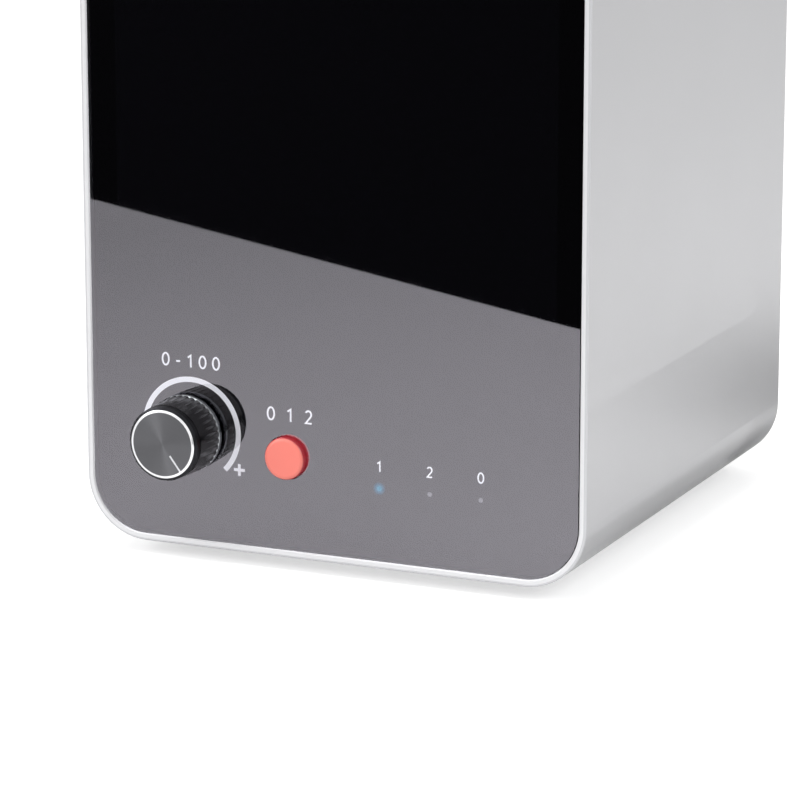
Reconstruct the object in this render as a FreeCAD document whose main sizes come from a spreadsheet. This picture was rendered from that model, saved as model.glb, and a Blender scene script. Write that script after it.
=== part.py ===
import FreeCAD, Part
import math
import os

from FreeCAD import Placement, Rotation, Vector
from Sketcher import Constraint

# Bench-top atmospheric plasma generator: an extruded aluminium housing that stands on
# four low feet, with a recessed glossy front panel, a power knob, a mode push button and
# three indicators, and with the air pump, the discharge cell and its supplies inside.
# X runs to the right as the user faces the panel, Y runs from front to back, Z is up.
# The origin is on the bench, under the middle of the whole object.

doc = FreeCAD.newDocument("plasma_generator")
sheet = doc.addObject("Spreadsheet::Sheet", "sizes")

# Driving dimensions in millimetres. Counts and angles are named with their unit.
DIMENSIONS = {
    # Housing, an extruded tube with milled ends
    "housing_width": 160.0,
    "housing_height": 200.0,
    "housing_depth": 168.0,
    "corner_radius": 19.0,
    "housing_wall": 2.2,
    "edge_break": 0.4,
    "port_radius": 5.5,
    "port_inset": 5.2,
    "port_bore": 1.7,
    "rail_thickness": 2.0,
    "rail_reach": 4.0,
    # Plates at the two ends
    "panel_recess": 0.1,
    "rear_recess": 2.0,
    "panel_thickness": 2.0,
    "panel_gap": 0.2,
    "tape_thickness": 0.5,
    "tape_width": 8.0,
    "plate_thickness": 2.0,
    "plate_gap": 0.4,
    "rear_thickness": 2.0,
    # Feet
    "foot_height": 4.0,
    "foot_radius": 9.0,
    "foot_taper": 1.0,
    "foot_side_inset": 35.0,
    "foot_inset": 28.0,
    # Screws
    "screw_radius": 1.5,
    "screw_head_radius": 2.8,
    "screw_head_height": 1.8,
    "screw_clearance": 0.15,
    "screw_bite": 4.0,
    "end_screw_radius": 1.6,
    "end_screw_head": 3.4,
    "end_screw_head_height": 1.1,
    "end_screw_length": 12.0,
    # Power knob and its potentiometer
    "knob_from_left": 33.9,
    "knob_height": 34.9,
    "knob_length": 15.9,
    "knob_radius": 11.6,
    "knob_taper": 0.45,
    "knob_gap": 1.0,
    "knob_web": 2.0,
    "cap_radius": 11.0,
    "cap_chamfer": 1.2,
    "cap_chamfer_depth": 0.8,
    "cap_edge": 2.0,
    "cap_spigot": 8.95,
    "cap_seat": 1.4,
    "ring_length": 2.0,
    "ring_seat": 10.2,
    "knob_recess_radius": 8.5,
    "knob_recess_depth": 3.0,
    "insert_radius": 5.0,
    "flute_count": 36.0,
    "flute_radius": 0.5,
    "flute_out": 0.15,
    "flute_end": 1.6,
    "knob_hole": 7.4,
    "shaft_radius": 3.0,
    "shaft_clearance": 0.05,
    "bushing_radius": 3.5,
    "pot_radius": 8.4,
    "pot_depth": 9.0,
    "shaft_inside": 5.4,
    "shaft_end_gap": 0.3,
    "pot_lug_pitch": 5.0,
    "pot_lug_width": 2.0,
    "pot_lug_thickness": 0.8,
    "pot_lug_length": 5.0,
    "pot_lug_inset": 2.0,
    "nut_thickness": 2.0,
    "nut_radius": 5.8,
    "washer_thickness": 0.5,
    "washer_rim": 0.6,
    # Mode button
    "button_from_left": 66.0,
    "button_height": 30.4,
    "button_radius": 6.4,
    "button_reach": 2.5,
    "button_edge": 1.3,
    "button_gap": 0.25,
    "button_travel": 1.5,
    "button_flange": 7.8,
    "button_flange_thickness": 1.5,
    "button_rest_gap": 0.3,
    "stem_radius": 2.5,
    "stem_length": 3.0,
    "switch_width": 12.0,
    "switch_depth": 6.5,
    "plunger_radius": 3.0,
    "plunger_gap": 0.2,
    "plunger_sink": 2.5,
    "plunger_end_gap": 0.5,
    # Indicators and the board behind the panel
    "indicator_from_left": 94.7,
    "indicator_pitch": 16.0,
    "indicator_height": 23.6,
    "pipe_radius": 0.9,
    "pipe_gap": 0.1,
    "pipe_collar": 1.9,
    "pipe_collar_thickness": 1.5,
    "led_radius": 1.5,
    "led_length": 4.0,
    "led_gap": 0.3,
    "front_board_offset": 13.5,
    "front_board_from_left": 47.0,
    "front_board_width": 89.0,
    "front_board_low": 17.0,
    "front_board_high": 40.0,
    "board_thickness": 1.6,
    "board_corner": 3.5,
    "spacer_radius": 2.6,
    # Tray and shelf
    "tray_side_gap": 2.0,
    "tray_inset": 3.0,
    "sheet_thickness": 1.5,
    "tray_flange": 10.0,
    "collar_radius": 3.2,
    "collar_height": 2.5,
    "shelf_height": 103.0,
    "shelf_side_gap": 0.5,
    "shelf_slot_gap": 0.3,
    # Circuit boards on the tray and on the shelf
    "tray_spacer": 8.0,
    "tray_board_side_gap": 2.0,
    "tray_board_middle_gap": 7.0,
    "tray_board_length": 100.0,
    "tray_board_start": 24.0,
    "shelf_spacer": 6.0,
    "shelf_board_width": 56.0,
    "shelf_board_length": 92.0,
    "shelf_board_start": 20.0,
    "shelf_board_side_gap": 11.3,
    # Components of the mains supply
    "mains_core_start": 38.0,
    "mains_core_width": 28.0,
    "mains_core_length": 24.0,
    "mains_core_height": 22.0,
    "mains_coil_radius": 15.0,
    "mains_coil_height": 20.0,
    "capacitor_start": 22.0,
    "capacitor_radius": 9.0,
    "capacitor_gap": 3.0,
    "capacitor_height": 28.0,
    # Heatsinks and the transistors on the driver's one
    "sink_spine": 3.0,
    "sink_fin_reach": 10.0,
    "sink_fin_thickness": 1.5,
    "supply_sink_left": 18.0,
    "supply_sink_start": 66.0,
    "supply_sink_length": 26.0,
    "supply_sink_height": 26.0,
    "supply_sink_fins": 5.0,
    "driver_sink_right": 6.0,
    "driver_sink_start": 58.0,
    "driver_sink_length": 34.0,
    "driver_sink_height": 30.0,
    "driver_sink_fins": 6.0,
    "transistor_start": 6.0,
    "transistor_pitch": 14.0,
    "transistor_rise": 4.0,
    "transistor_thickness": 4.6,
    "transistor_width": 10.0,
    "transistor_height": 15.0,
    # High-voltage transformer
    "core_start": 14.0,
    "core_width": 34.0,
    "core_depth": 12.0,
    "core_height": 36.0,
    "core_leg": 10.0,
    "core_limb": 4.0,
    "core_yoke": 8.0,
    "coil_radius": 11.0,
    "coil_end_gap": 0.2,
    "coil_cheek_radius": 12.4,
    "coil_cheek": 1.2,
    "coil_cheeks": 5.0,
    # Relays on the control board
    "relay_left": 8.0,
    "relay_start": 14.0,
    "relay_pitch": 24.0,
    "relay_width": 15.0,
    "relay_length": 20.0,
    "relay_height": 16.0,
    # Discharge cell
    "cell_from_right": 44.0,
    "cell_axis_height": 24.0,
    "cell_start": 52.0,
    "block_width": 34.0,
    "block_top": 17.0,
    "block_length": 14.0,
    "block_seat": 8.0,
    "block_hole_depth": 6.0,
    "block_screw_bite": 5.0,
    "glass_radius": 10.0,
    "glass_wall": 1.6,
    "glass_length": 74.0,
    "seat_gap": 0.1,
    "electrode_gap": 1.5,
    "electrode_length": 52.0,
    "stud_radius": 2.0,
    "stud_length": 26.0,
    "stud_nut_length": 3.0,
    "sleeve_thickness": 0.6,
    "sleeve_length": 50.0,
    "sleeve_end": 4.0,
    "sleeve_slots": 10.0,
    "sleeve_slot_width": 2.4,
    "chamber_depth": 3.0,
    "stub_radius": 3.2,
    "stub_bore": 1.9,
    "stub_length": 8.0,
    "hose_wall": 1.4,
    "hose_gap": 0.05,
    "hose_end_gap": 0.3,
    "hose_rise": 1.0,
    # Air pump
    "pump_width": 30.0,
    "pump_head_height": 20.0,
    "pump_head_length": 30.0,
    "pump_start": 10.0,
    "pump_motor_radius": 10.0,
    "pump_motor_height": 32.0,
    "pump_motor_inset": 0.5,
    "pump_boss_radius": 3.5,
    "pump_boss_height": 2.0,
    "pump_port_inset": 3.0,
    "pump_port_floor": 5.0,
    # Outlet at the back
    "outlet_radius": 4.0,
    "outlet_length": 18.0,
    "outlet_flange": 8.0,
    "outlet_flange_thickness": 4.0,
    "outlet_thread": 5.0,
    "outlet_thread_length": 12.0,
    "outlet_chamfer": 0.5,
    "outlet_nut_radius": 8.5,
    "outlet_nut_length": 4.0,
    # Cooling fan
    "fan_from_left": 44.0,
    "fan_middle": 137.0,
    "fan_size": 60.0,
    "fan_depth": 25.0,
    "fan_duct": 28.6,
    "fan_flange": 4.0,
    "fan_hole_spacing": 50.0,
    "fan_corner": 4.0,
    "fan_hub": 13.5,
    "fan_hub_wall": 1.5,
    "fan_hub_floor": 2.0,
    "fan_hub_gap": 1.0,
    "fan_hub_inset": 2.0,
    "fan_tip_gap": 0.8,
    "fan_strut": 3.0,
    "fan_strut_root": 0.65,
    "fan_stator": 10.5,
    "fan_stator_inset": 4.0,
    "fan_shaft": 1.5,
    "fan_shaft_gap": 1.5,
    "fan_blades": 7.0,
    "blade_thickness": 1.2,
    "blade_seat": 0.8,
    "blade_trim": 0.4,
    "blade_root_degrees": 48.0,
    "blade_tip_degrees": 30.0,
    "blade_fill": 0.92,
    "blade_camber": 0.16,
    "guard_wire": 0.9,
    "guard_rings": 4.0,
    "guard_eyelet": 2.6,
    "guard_weld": 0.36,
    # Power entry
    "inlet_from_right": 46.0,
    "inlet_middle": 62.0,
    "inlet_flange_width": 50.0,
    "inlet_flange_height": 62.0,
    "inlet_flange_thickness": 3.0,
    "inlet_corner": 3.0,
    "inlet_body_width": 29.0,
    "inlet_body_height": 54.0,
    "inlet_body_depth": 30.0,
    "inlet_screw_spacing": 40.0,
    "inlet_screw_bite": 2.0,
    "socket_width": 24.0,
    "socket_height": 16.5,
    "socket_depth": 17.0,
    "socket_key": 4.0,
    "socket_drop": 12.8,
    "pin_width": 2.0,
    "pin_height": 4.0,
    "pin_spacing": 14.0,
    "pin_rise": 4.0,
    "pin_recess": 2.0,
    "pin_tail": 8.0,
    "drawer_width": 24.0,
    "drawer_height": 8.0,
    "drawer_depth": 25.0,
    "drawer_rise": 2.5,
    "drawer_gap": 0.3,
    "drawer_lip": 1.5,
    "lip_side": 1.0,
    "lip_rise": 0.8,
    "notch_width": 8.0,
    "notch_radius": 1.9,
    "notch_out": 1.0,
    "fuse_floor": 1.8,
    "fuse_depth": 12.0,
    "fuse_radius": 2.6,
    "fuse_length": 20.0,
    "fuse_cap_length": 5.0,
    "fuse_cap_wall": 0.3,
    "rocker_rise": 17.5,
    "rocker_window_width": 22.4,
    "rocker_window_height": 14.0,
    "rocker_window_depth": 18.0,
    "rocker_gap": 0.3,
    "rocker_pivot_depth": 4.0,
    "rocker_root": 3.0,
    "rocker_tip_rise": 4.2,
    "rocker_dip_rise": 1.4,
    "rocker_spare": 1.0,
    "rocker_tilt_degrees": 10.0,
    # Vents
    "vent_width": 3.2,
    "vent_end_flat": 0.15,
    "vent_length": 26.0,
    "vent_pitch": 7.0,
    "vent_count": 8.0,
    "vent_from_left": 18.0,
    "vent_middle": 46.0,
}

for row, (alias, number) in enumerate(DIMENSIONS.items(), start=1):
    sheet.set("A%d" % row, alias)
    sheet.set("B%d" % row, str(number))
    sheet.setAlias("B%d" % row, alias)
doc.recompute()


class Size:
    """A length that holds its present value and the formula that ties it to the sheet."""

    def __init__(self, value, formula):
        self.value = value
        self.formula = formula

    def joined(self, sign, value, other):
        return Size(value, "(" + self.formula + " " + sign + " " + other.formula + ")")

    def __add__(self, other):
        other = as_size(other)
        return self.joined("+", self.value + other.value, other)

    def __radd__(self, other):
        return as_size(other) + self

    def __sub__(self, other):
        other = as_size(other)
        return self.joined("-", self.value - other.value, other)

    def __rsub__(self, other):
        return as_size(other) - self

    def __mul__(self, other):
        other = as_size(other)
        return self.joined("*", self.value * other.value, other)

    def __rmul__(self, other):
        return as_size(other) * self

    def __truediv__(self, other):
        other = as_size(other)
        return self.joined("/", self.value / other.value, other)

    def __neg__(self):
        return Size(-self.value, "(0 - " + self.formula + ")")


def as_size(amount):
    """A plain number becomes a Size with a constant formula."""
    if isinstance(amount, Size):
        return amount
    return Size(float(amount), "(%.6f)" % amount)


def named(alias):
    """The driving dimension that the sheet keeps under this alias."""
    return Size(float(sheet.get(alias)), "sizes." + alias)


def bind(item, path, amount):
    item.setExpression(path, as_size(amount).formula)


def put(item, x, y, z):
    """Tie an object's position to the sheet and leave its rotation alone."""
    bind(item, "Placement.Base.x", x)
    bind(item, "Placement.Base.y", y)
    bind(item, "Placement.Base.z", z)


ALONG = {
    "X": Rotation(Vector(0, 1, 0), 90),
    "Y": Rotation(Vector(1, 0, 0), -90),
    "Z": Rotation(),
}


def box(x, y, z, length, width, height):
    item = doc.addObject("Part::Box", "block")
    bind(item, "Length", length)
    bind(item, "Width", width)
    bind(item, "Height", height)
    put(item, x, y, z)
    return item


def cylinder(along, x, y, z, radius, length):
    item = doc.addObject("Part::Cylinder", "rod")
    item.Placement = Placement(Vector(), ALONG[along])
    bind(item, "Radius", radius)
    bind(item, "Height", length)
    put(item, x, y, z)
    return item


def cone(x, y, z, low_radius, high_radius, height):
    item = doc.addObject("Part::Cone", "taper")
    bind(item, "Radius1", low_radius)
    bind(item, "Radius2", high_radius)
    bind(item, "Height", height)
    put(item, x, y, z)
    return item


def hexagon(x, y, z, radius, length):
    """A hexagonal prism along Y."""
    item = doc.addObject("Part::Prism", "hexagon")
    item.Polygon = 6
    item.Placement = Placement(Vector(), ALONG["Y"])
    bind(item, "Circumradius", radius)
    bind(item, "Height", length)
    put(item, x, y, z)
    return item


def torus(x, y, z, ring_radius, wire_radius):
    """A wire ring in the XZ plane."""
    item = doc.addObject("Part::Torus", "ring")
    item.Placement = Placement(Vector(), ALONG["Y"])
    bind(item, "Radius1", ring_radius)
    bind(item, "Radius2", wire_radius)
    put(item, x, y, z)
    return item


def fuse(pieces, label=None):
    item = doc.addObject("Part::MultiFuse", "joined")
    item.Shapes = pieces
    if label:
        item.Label = label
    return item


def cut(base, tools, label=None):
    item = doc.addObject("Part::Cut", "cut")
    item.Base = base
    item.Tool = tools[0] if len(tools) == 1 else fuse(tools)
    if label:
        item.Label = label
    return item


def group(pieces, label):
    """Separate solids of one kind that share a node."""
    item = doc.addObject("Part::Compound", "set")
    item.Links = pieces
    item.Label = label
    return item


# Sketches and features of the bodies

def new_body(label, x, y, z):
    item = doc.addObject("PartDesign::Body", "body")
    item.Label = label
    put(item, x, y, z)
    return item


def new_sketch(item, role, offset=0):
    """A sketch on the body's own origin plane, moved along that plane's normal."""
    plane = [part for part in item.Origin.OriginFeatures if part.Role == role][0]
    sketch = item.newObject("Sketcher::SketchObject", "sketch")
    sketch.AttachmentSupport = [(plane, "")]
    sketch.MapMode = "FlatFace"
    bind(sketch, "AttachmentOffset.Base.z", offset)
    return sketch


def hold(sketch, geometry, point, x=None, y=None):
    """Tie a sketch point to the origin by its two coordinates."""
    for kind, axis, amount in (("DistanceX", -2, x), ("DistanceY", -1, y)):
        if amount is None:
            continue
        amount = as_size(amount)
        if amount.value == 0:
            sketch.addConstraint(Constraint("PointOnObject", geometry, point, axis))
            continue
        index = sketch.addConstraint(Constraint(kind, -1, 1, geometry, point, amount.value))
        bind(sketch, "Constraints[%d]" % index, amount)


def circle(sketch, x, y, radius):
    x, y, radius = as_size(x), as_size(y), as_size(radius)
    shape = Part.Circle(Vector(x.value, y.value, 0), Vector(0, 0, 1), radius.value)
    index = sketch.addGeometry(shape, False)
    hold(sketch, index, 3, x, y)
    size = sketch.addConstraint(Constraint("Radius", index, radius.value))
    bind(sketch, "Constraints[%d]" % size, radius)


def outline(sketch, points):
    """A closed loop of straight lines through points given as pairs of sizes."""
    corners = [(as_size(x), as_size(y)) for x, y in points]
    first = sketch.GeometryCount
    count = len(corners)
    for index, (x, y) in enumerate(corners):
        end_x, end_y = corners[(index + 1) % count]
        start = Vector(x.value, y.value, 0)
        end = Vector(end_x.value, end_y.value, 0)
        sketch.addGeometry(Part.LineSegment(start, end), False)
    for index in range(count):
        following = first + (index + 1) % count
        sketch.addConstraint(Constraint("Coincident", first + index, 2, following, 1))
    for index, (x, y) in enumerate(corners):
        hold(sketch, first + index, 1, x, y)


def rounded_rectangle(sketch, left, low, right, high, radius):
    left, low, right, high = as_size(left), as_size(low), as_size(right), as_size(high)
    radius = as_size(radius)
    x0, y0, x1, y1, r = left.value, low.value, right.value, high.value, radius.value
    runs = [
        ((x0 + r, y0), (x1 - r, y0), (x1 - r, y0 + r), -90),
        ((x1, y0 + r), (x1, y1 - r), (x1 - r, y1 - r), 0),
        ((x1 - r, y1), (x0 + r, y1), (x0 + r, y1 - r), 90),
        ((x0, y1 - r), (x0, y0 + r), (x0 + r, y0 + r), 180),
    ]
    first = sketch.GeometryCount
    for start, end, middle, turn in runs:
        sketch.addGeometry(Part.LineSegment(Vector(*start, 0), Vector(*end, 0)), False)
        round_corner = Part.Circle(Vector(*middle, 0), Vector(0, 0, 1), r)
        arc = Part.ArcOfCircle(round_corner, math.radians(turn), math.radians(turn + 90))
        sketch.addGeometry(arc, False)
    for side in range(4):
        line = first + 2 * side
        arc = line + 1
        following = first + (2 * side + 2) % 8
        sketch.addConstraint(Constraint("Tangent", line, 2, arc, 1))
        sketch.addConstraint(Constraint("Tangent", arc, 2, following, 1))
        level = "Horizontal" if side % 2 == 0 else "Vertical"
        sketch.addConstraint(Constraint(level, line))
    for side in range(1, 4):
        sketch.addConstraint(Constraint("Equal", first + 1, first + 1 + 2 * side))
    size = sketch.addConstraint(Constraint("Radius", first + 1, r))
    bind(sketch, "Constraints[%d]" % size, radius)
    hold(sketch, first, 1, None, low)
    hold(sketch, first + 2, 1, right, None)
    hold(sketch, first + 4, 1, None, high)
    hold(sketch, first + 6, 1, left, None)


def rectangle(sketch, left, low, right, high):
    outline(sketch, [(left, low), (right, low), (right, high), (left, high)])


def pad(item, sketch, length, reverse=False):
    feature = item.newObject("PartDesign::Pad", "pad")
    feature.Profile = sketch
    bind(feature, "Length", length)
    feature.Reversed = reverse
    return feature


def pocket(item, sketch, length, reverse=False):
    feature = item.newObject("PartDesign::Pocket", "pocket")
    feature.Profile = sketch
    bind(feature, "Length", length)
    feature.Reversed = reverse
    return feature


def turned(label, x, y, z, points, role="XY_Plane"):
    """A body turned about Y, or about Z on the XZ plane: points are (radius, along)."""
    item = new_body(label, x, y, z)
    sketch = new_sketch(item, role)
    outline(sketch, points)
    feature = item.newObject("PartDesign::Revolution", "revolution")
    feature.Profile = sketch
    feature.ReferenceAxis = (sketch, ["V_Axis"])
    feature.Angle = 360
    return item


def soften(item, kind, amount, wanted):
    """Fillet or chamfer the edges of the body's last feature that wanted() picks."""
    doc.recompute()
    base = item.Tip
    names = ["Edge%d" % number for number, edge in enumerate(base.Shape.Edges, start=1)
             if wanted(edge)]
    feature = item.newObject("PartDesign::" + kind, kind.lower())
    feature.Base = (base, names)
    bind(feature, "Radius" if kind == "Fillet" else "Size", amount)
    item.Tip = feature
    return feature


# Places that several pieces share

half_width = named("housing_width") / 2
base = named("foot_height")
top = base + named("housing_height")
wall = named("housing_wall")
recess = named("panel_recess")
rear_recess = named("rear_recess")
screw = named("screw_radius")
screw_hole = screw + named("screw_clearance")

knob_reach = named("knob_gap") + named("knob_length") - recess
rear_reach = named("outlet_length") - rear_recess
front = -(named("housing_depth") + rear_reach - knob_reach) / 2
rear = front + named("housing_depth")

panel_face = front + recess
tape_face = panel_face + named("panel_thickness")
plate_face = tape_face + named("tape_thickness")
plate_back = plate_face + named("plate_thickness")
rear_face = rear - rear_recess
rear_inner = rear_face - named("rear_thickness")
port_length = rear_inner - plate_back

corner_middle_x = half_width - named("corner_radius")
corner_middle_low = base + named("corner_radius")
corner_middle_high = top - named("corner_radius")
port_reach = (named("corner_radius") - wall - named("port_inset")) * math.sqrt(0.5)
port_x = corner_middle_x + port_reach
port_places = [
    (side * port_x, level)
    for side in (-1, 1)
    for level in (corner_middle_low - port_reach, corner_middle_high + port_reach)
]

foot_x = half_width - named("foot_side_inset")
foot_places = [
    (side * foot_x, y)
    for side in (-1, 1)
    for y in (front + named("foot_inset"), rear - named("foot_inset"))
]

floor_inner = base + wall
shelf_low = base + named("shelf_height")
shelf_top = shelf_low + named("sheet_thickness")
knob_x = named("knob_from_left") - half_width
knob_z = base + named("knob_height")
button_x = named("button_from_left") - half_width
button_z = base + named("button_height")
indicator_z = base + named("indicator_height")
indicator_first = named("indicator_from_left") - half_width
indicator_places = [indicator_first + step * named("indicator_pitch") for step in range(3)]
cell_x = half_width - named("cell_from_right")
cell_z = shelf_top + named("cell_axis_height")
fan_x = named("fan_from_left") - half_width
fan_z = base + named("fan_middle")
inlet_x = half_width - named("inlet_from_right")
inlet_z = base + named("inlet_middle")

kept = []


def keep(item):
    """Put a finished piece on the list of nodes."""
    kept.append(item)
    return item


# Housing: one length of extruded tube. Its corners carry round screw ports and its sides
# carry the rails of the shelf, both milled back at the ends to let the plates in.

def housing_shell():
    item = new_body("housing_shell", 0, front, 0)
    section = new_sketch(item, "XZ_Plane")
    rounded_rectangle(section, -half_width, base, half_width, top, named("corner_radius"))
    rounded_rectangle(section, -(half_width - wall), base + wall, half_width - wall,
                      top - wall, named("corner_radius") - wall)
    pad(item, section, named("housing_depth"), True)

    def on_rim(edge):
        ends = edge.BoundBox
        deep = named("housing_depth").value
        flat = ends.YMax - ends.YMin < 0.01
        return flat and (abs(ends.YMin) < 0.01 or abs(ends.YMin - deep) < 0.01)

    soften(item, "Chamfer", named("edge_break"), on_rim)

    inward = -(plate_back - front)
    ports = new_sketch(item, "XZ_Plane", inward)
    for x, z in port_places:
        circle(ports, x, z, named("port_radius"))
    pad(item, ports, port_length, True)
    bores = new_sketch(item, "XZ_Plane", inward)
    for x, z in port_places:
        circle(bores, x, z, named("port_bore"))
    pocket(item, bores, port_length)

    rails = new_sketch(item, "XZ_Plane", inward)
    rail = named("rail_thickness")
    for side in (-1, 1):
        outer = side * (half_width - wall / 2)
        inner = side * (half_width - wall - named("rail_reach"))
        lower = shelf_low - rail
        upper = shelf_top + named("shelf_slot_gap")
        rectangle(rails, outer, lower, inner, shelf_low)
        rectangle(rails, outer, upper, inner, upper + rail)
    pad(item, rails, port_length, True)

    holes = new_sketch(item, "XY_Plane")
    for x, y in foot_places:
        circle(holes, x, y - front, screw_hole)
    pocket(item, holes, base + wall + 1, True)
    return item


keep(housing_shell())


# Plates in the two ends. Each has the outline of the tube's inside, less a gap.

def plate_outline(sketch, gap, inset=0):
    side = half_width - wall - gap - inset
    low = base + wall + gap + inset
    high = top - wall - gap - inset
    radius = named("corner_radius") - wall - gap - inset
    rounded_rectangle(sketch, -side, low, side, high, radius)


def front_panel():
    item = new_body("front_panel", 0, panel_face, 0)
    face = new_sketch(item, "XZ_Plane")
    plate_outline(face, named("panel_gap"))
    circle(face, knob_x, knob_z, named("knob_hole"))
    circle(face, button_x, button_z, named("button_radius") + named("button_gap"))
    pad(item, face, named("panel_thickness"), True)
    return item


def panel_tape():
    item = new_body("panel_tape", 0, tape_face, 0)
    face = new_sketch(item, "XZ_Plane")
    plate_outline(face, named("panel_gap"))
    plate_outline(face, named("panel_gap"), named("tape_width"))
    pad(item, face, named("tape_thickness"), True)
    return item


def front_plate():
    item = new_body("front_plate", 0, plate_face, 0)
    face = new_sketch(item, "XZ_Plane")
    plate_outline(face, named("plate_gap"))
    circle(face, knob_x, knob_z, named("bushing_radius") + named("shaft_clearance"))
    circle(face, button_x, button_z, named("button_radius") + named("button_gap"))
    for x in indicator_places:
        circle(face, x, indicator_z, named("pipe_radius") + named("pipe_gap"))
    for x, z in port_places:
        circle(face, x, z, named("end_screw_radius") + named("screw_clearance"))
    pad(item, face, named("plate_thickness"), True)
    seats = new_sketch(item, "XZ_Plane")
    for x, z in port_places:
        circle(seats, x, z, named("end_screw_head") + named("screw_clearance"))
    pocket(item, seats, named("end_screw_head_height"))
    return item


def end_screw(x, z, head_start, head_height, direction):
    """A screw in a port: direction is 1 where it points to the back and -1 to the front."""
    length = named("end_screw_length")
    shank_start = head_start + head_height if direction == 1 else head_start - length
    head = cylinder("Y", x, head_start, z, named("end_screw_head"), head_height)
    shank = cylinder("Y", x, shank_start, z, named("end_screw_radius"), length)
    return fuse([head, shank])


keep(front_panel())
keep(panel_tape())
keep(front_plate())
keep(group([end_screw(x, z, plate_face, named("end_screw_head_height"), 1)
            for x, z in port_places], "front_plate_screws"))


def rear_panel():
    item = new_body("rear_panel", 0, rear_inner, 0)
    face = new_sketch(item, "XZ_Plane")
    plate_outline(face, named("plate_gap"))
    for x, z in port_places:
        circle(face, x, z, named("end_screw_radius") + named("screw_clearance"))
    circle(face, fan_x, fan_z, named("fan_duct"))
    half = named("fan_hole_spacing") / 2
    for x_side in (-1, 1):
        for z_side in (-1, 1):
            circle(face, fan_x + x_side * half, fan_z + z_side * half, screw_hole)
    circle(face, cell_x, cell_z, named("outlet_thread") + named("seat_gap"))
    body_x = named("inlet_body_width") / 2 + named("seat_gap")
    body_z = named("inlet_body_height") / 2 + named("seat_gap")
    rectangle(face, inlet_x - body_x, inlet_z - body_z, inlet_x + body_x, inlet_z + body_z)
    for side in (-1, 1):
        circle(face, inlet_x + side * named("inlet_screw_spacing") / 2,
               inlet_z - named("socket_drop"), screw_hole)
    pad(item, face, named("rear_thickness"), True)

    vent = new_sketch(item, "XZ_Plane")
    left = named("vent_from_left") - half_width
    low = base + named("vent_middle") - named("vent_length") / 2
    rounded_rectangle(vent, left, low, left + named("vent_width"), low + named("vent_length"),
                      named("vent_width") / 2 - named("vent_end_flat"))
    slot = pocket(item, vent, named("rear_thickness"))
    row_of_slots = item.newObject("PartDesign::LinearPattern", "vents")
    row_of_slots.Originals = [slot]
    row_of_slots.Direction = (vent, ["H_Axis"])
    bind(row_of_slots, "Length", named("vent_pitch") * (named("vent_count") - 1))
    bind(row_of_slots, "Occurrences", named("vent_count"))
    item.Tip = row_of_slots
    return item


keep(rear_panel())
keep(group([end_screw(x, z, rear_face, named("screw_head_height"), -1)
            for x, z in port_places], "rear_panel_screws"))


# Feet: moulded rubber, each held by one screw that also holds the tray.

def foot(x, y):
    solid = cone(x, y, 0, named("foot_radius") - named("foot_taper"),
                 named("foot_radius"), base)
    seat = cylinder("Z", x, y, 0, named("screw_head_radius") + named("screw_clearance"),
                    named("screw_head_height") + named("screw_clearance"))
    hole = cylinder("Z", x, y, 0, screw_hole, base)
    return cut(solid, [seat, hole])


tray_top = floor_inner + named("sheet_thickness")
tray_front = plate_back + named("tray_inset")
tray_length = rear_inner - named("tray_inset") - tray_front


def foot_screw(x, y):
    start = named("screw_clearance")
    head = cylinder("Z", x, y, start, named("screw_head_radius"),
                    named("screw_head_height"))
    length = tray_top + named("collar_height") - start
    return fuse([head, cylinder("Z", x, y, start, screw, length)])


keep(group([foot(x, y) for x, y in foot_places], "feet"))
keep(group([foot_screw(x, y) for x, y in foot_places], "foot_screws"))


# Tray: folded sheet on the housing's floor, with collars drawn up for the foot screws.

tray_half = corner_middle_x - named("tray_side_gap")


def tray():
    half = tray_half
    sheet_gauge = named("sheet_thickness")
    pieces = [box(-half, tray_front, floor_inner, 2 * half, tray_length, sheet_gauge)]
    for x in (-half, half - sheet_gauge):
        pieces.append(box(x, tray_front, floor_inner, sheet_gauge, tray_length,
                          sheet_gauge + named("tray_flange")))
    for x, y in foot_places:
        pieces.append(cylinder("Z", x, y, floor_inner, named("collar_radius"),
                               sheet_gauge + named("collar_height")))
    holes = [cylinder("Z", x, y, floor_inner, screw + named("shaft_clearance"),
                      sheet_gauge + named("collar_height")) for x, y in foot_places]
    return cut(fuse(pieces), holes, "tray")


keep(tray())


# Shelf: a plate that slides into the housing's rails.

shelf_half = half_width - wall - named("shelf_side_gap")
block_y = [front + named("cell_start"),
           front + named("cell_start") + named("glass_length")
           + 2 * (named("block_length") - named("block_seat")) - named("block_length")]
block_screw_x = [cell_x - named("block_width") / 3, cell_x + named("block_width") / 3]


def board_corners(left, start, width, length):
    inset = named("board_corner")
    return [(x, y) for x in (left + inset, left + width - inset)
            for y in (start + inset, start + length - inset)]


shelf_board_left = named("shelf_board_side_gap") - shelf_half
shelf_board_corners = board_corners(shelf_board_left, front + named("shelf_board_start"),
                                    named("shelf_board_width"), named("shelf_board_length"))


def shelf():
    start = plate_back + named("tray_inset")
    length = rear_inner - start - named("seat_gap")
    plate = box(-shelf_half, start, shelf_low, 2 * shelf_half, length,
                named("sheet_thickness"))
    holes = [cylinder("Z", x, y + named("block_length") / 2, shelf_low, screw_hole,
                      named("sheet_thickness")) for x in block_screw_x for y in block_y]
    return cut(plate, holes, "shelf")


keep(shelf())


# Power knob: black moulded body with fine flutes, a brass insert, a spun aluminium cap and
# an aluminium ring that is pressed on a step at its foot.

knob_start = panel_face - named("knob_gap")
knob_front_radius = named("knob_radius") - named("knob_taper")
cap_back = -(named("knob_length") - named("cap_chamfer_depth") - named("cap_edge"))
seat_back = cap_back + named("cap_seat")
insert_front = seat_back + named("knob_web")
ring_front = -named("ring_length")


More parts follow.
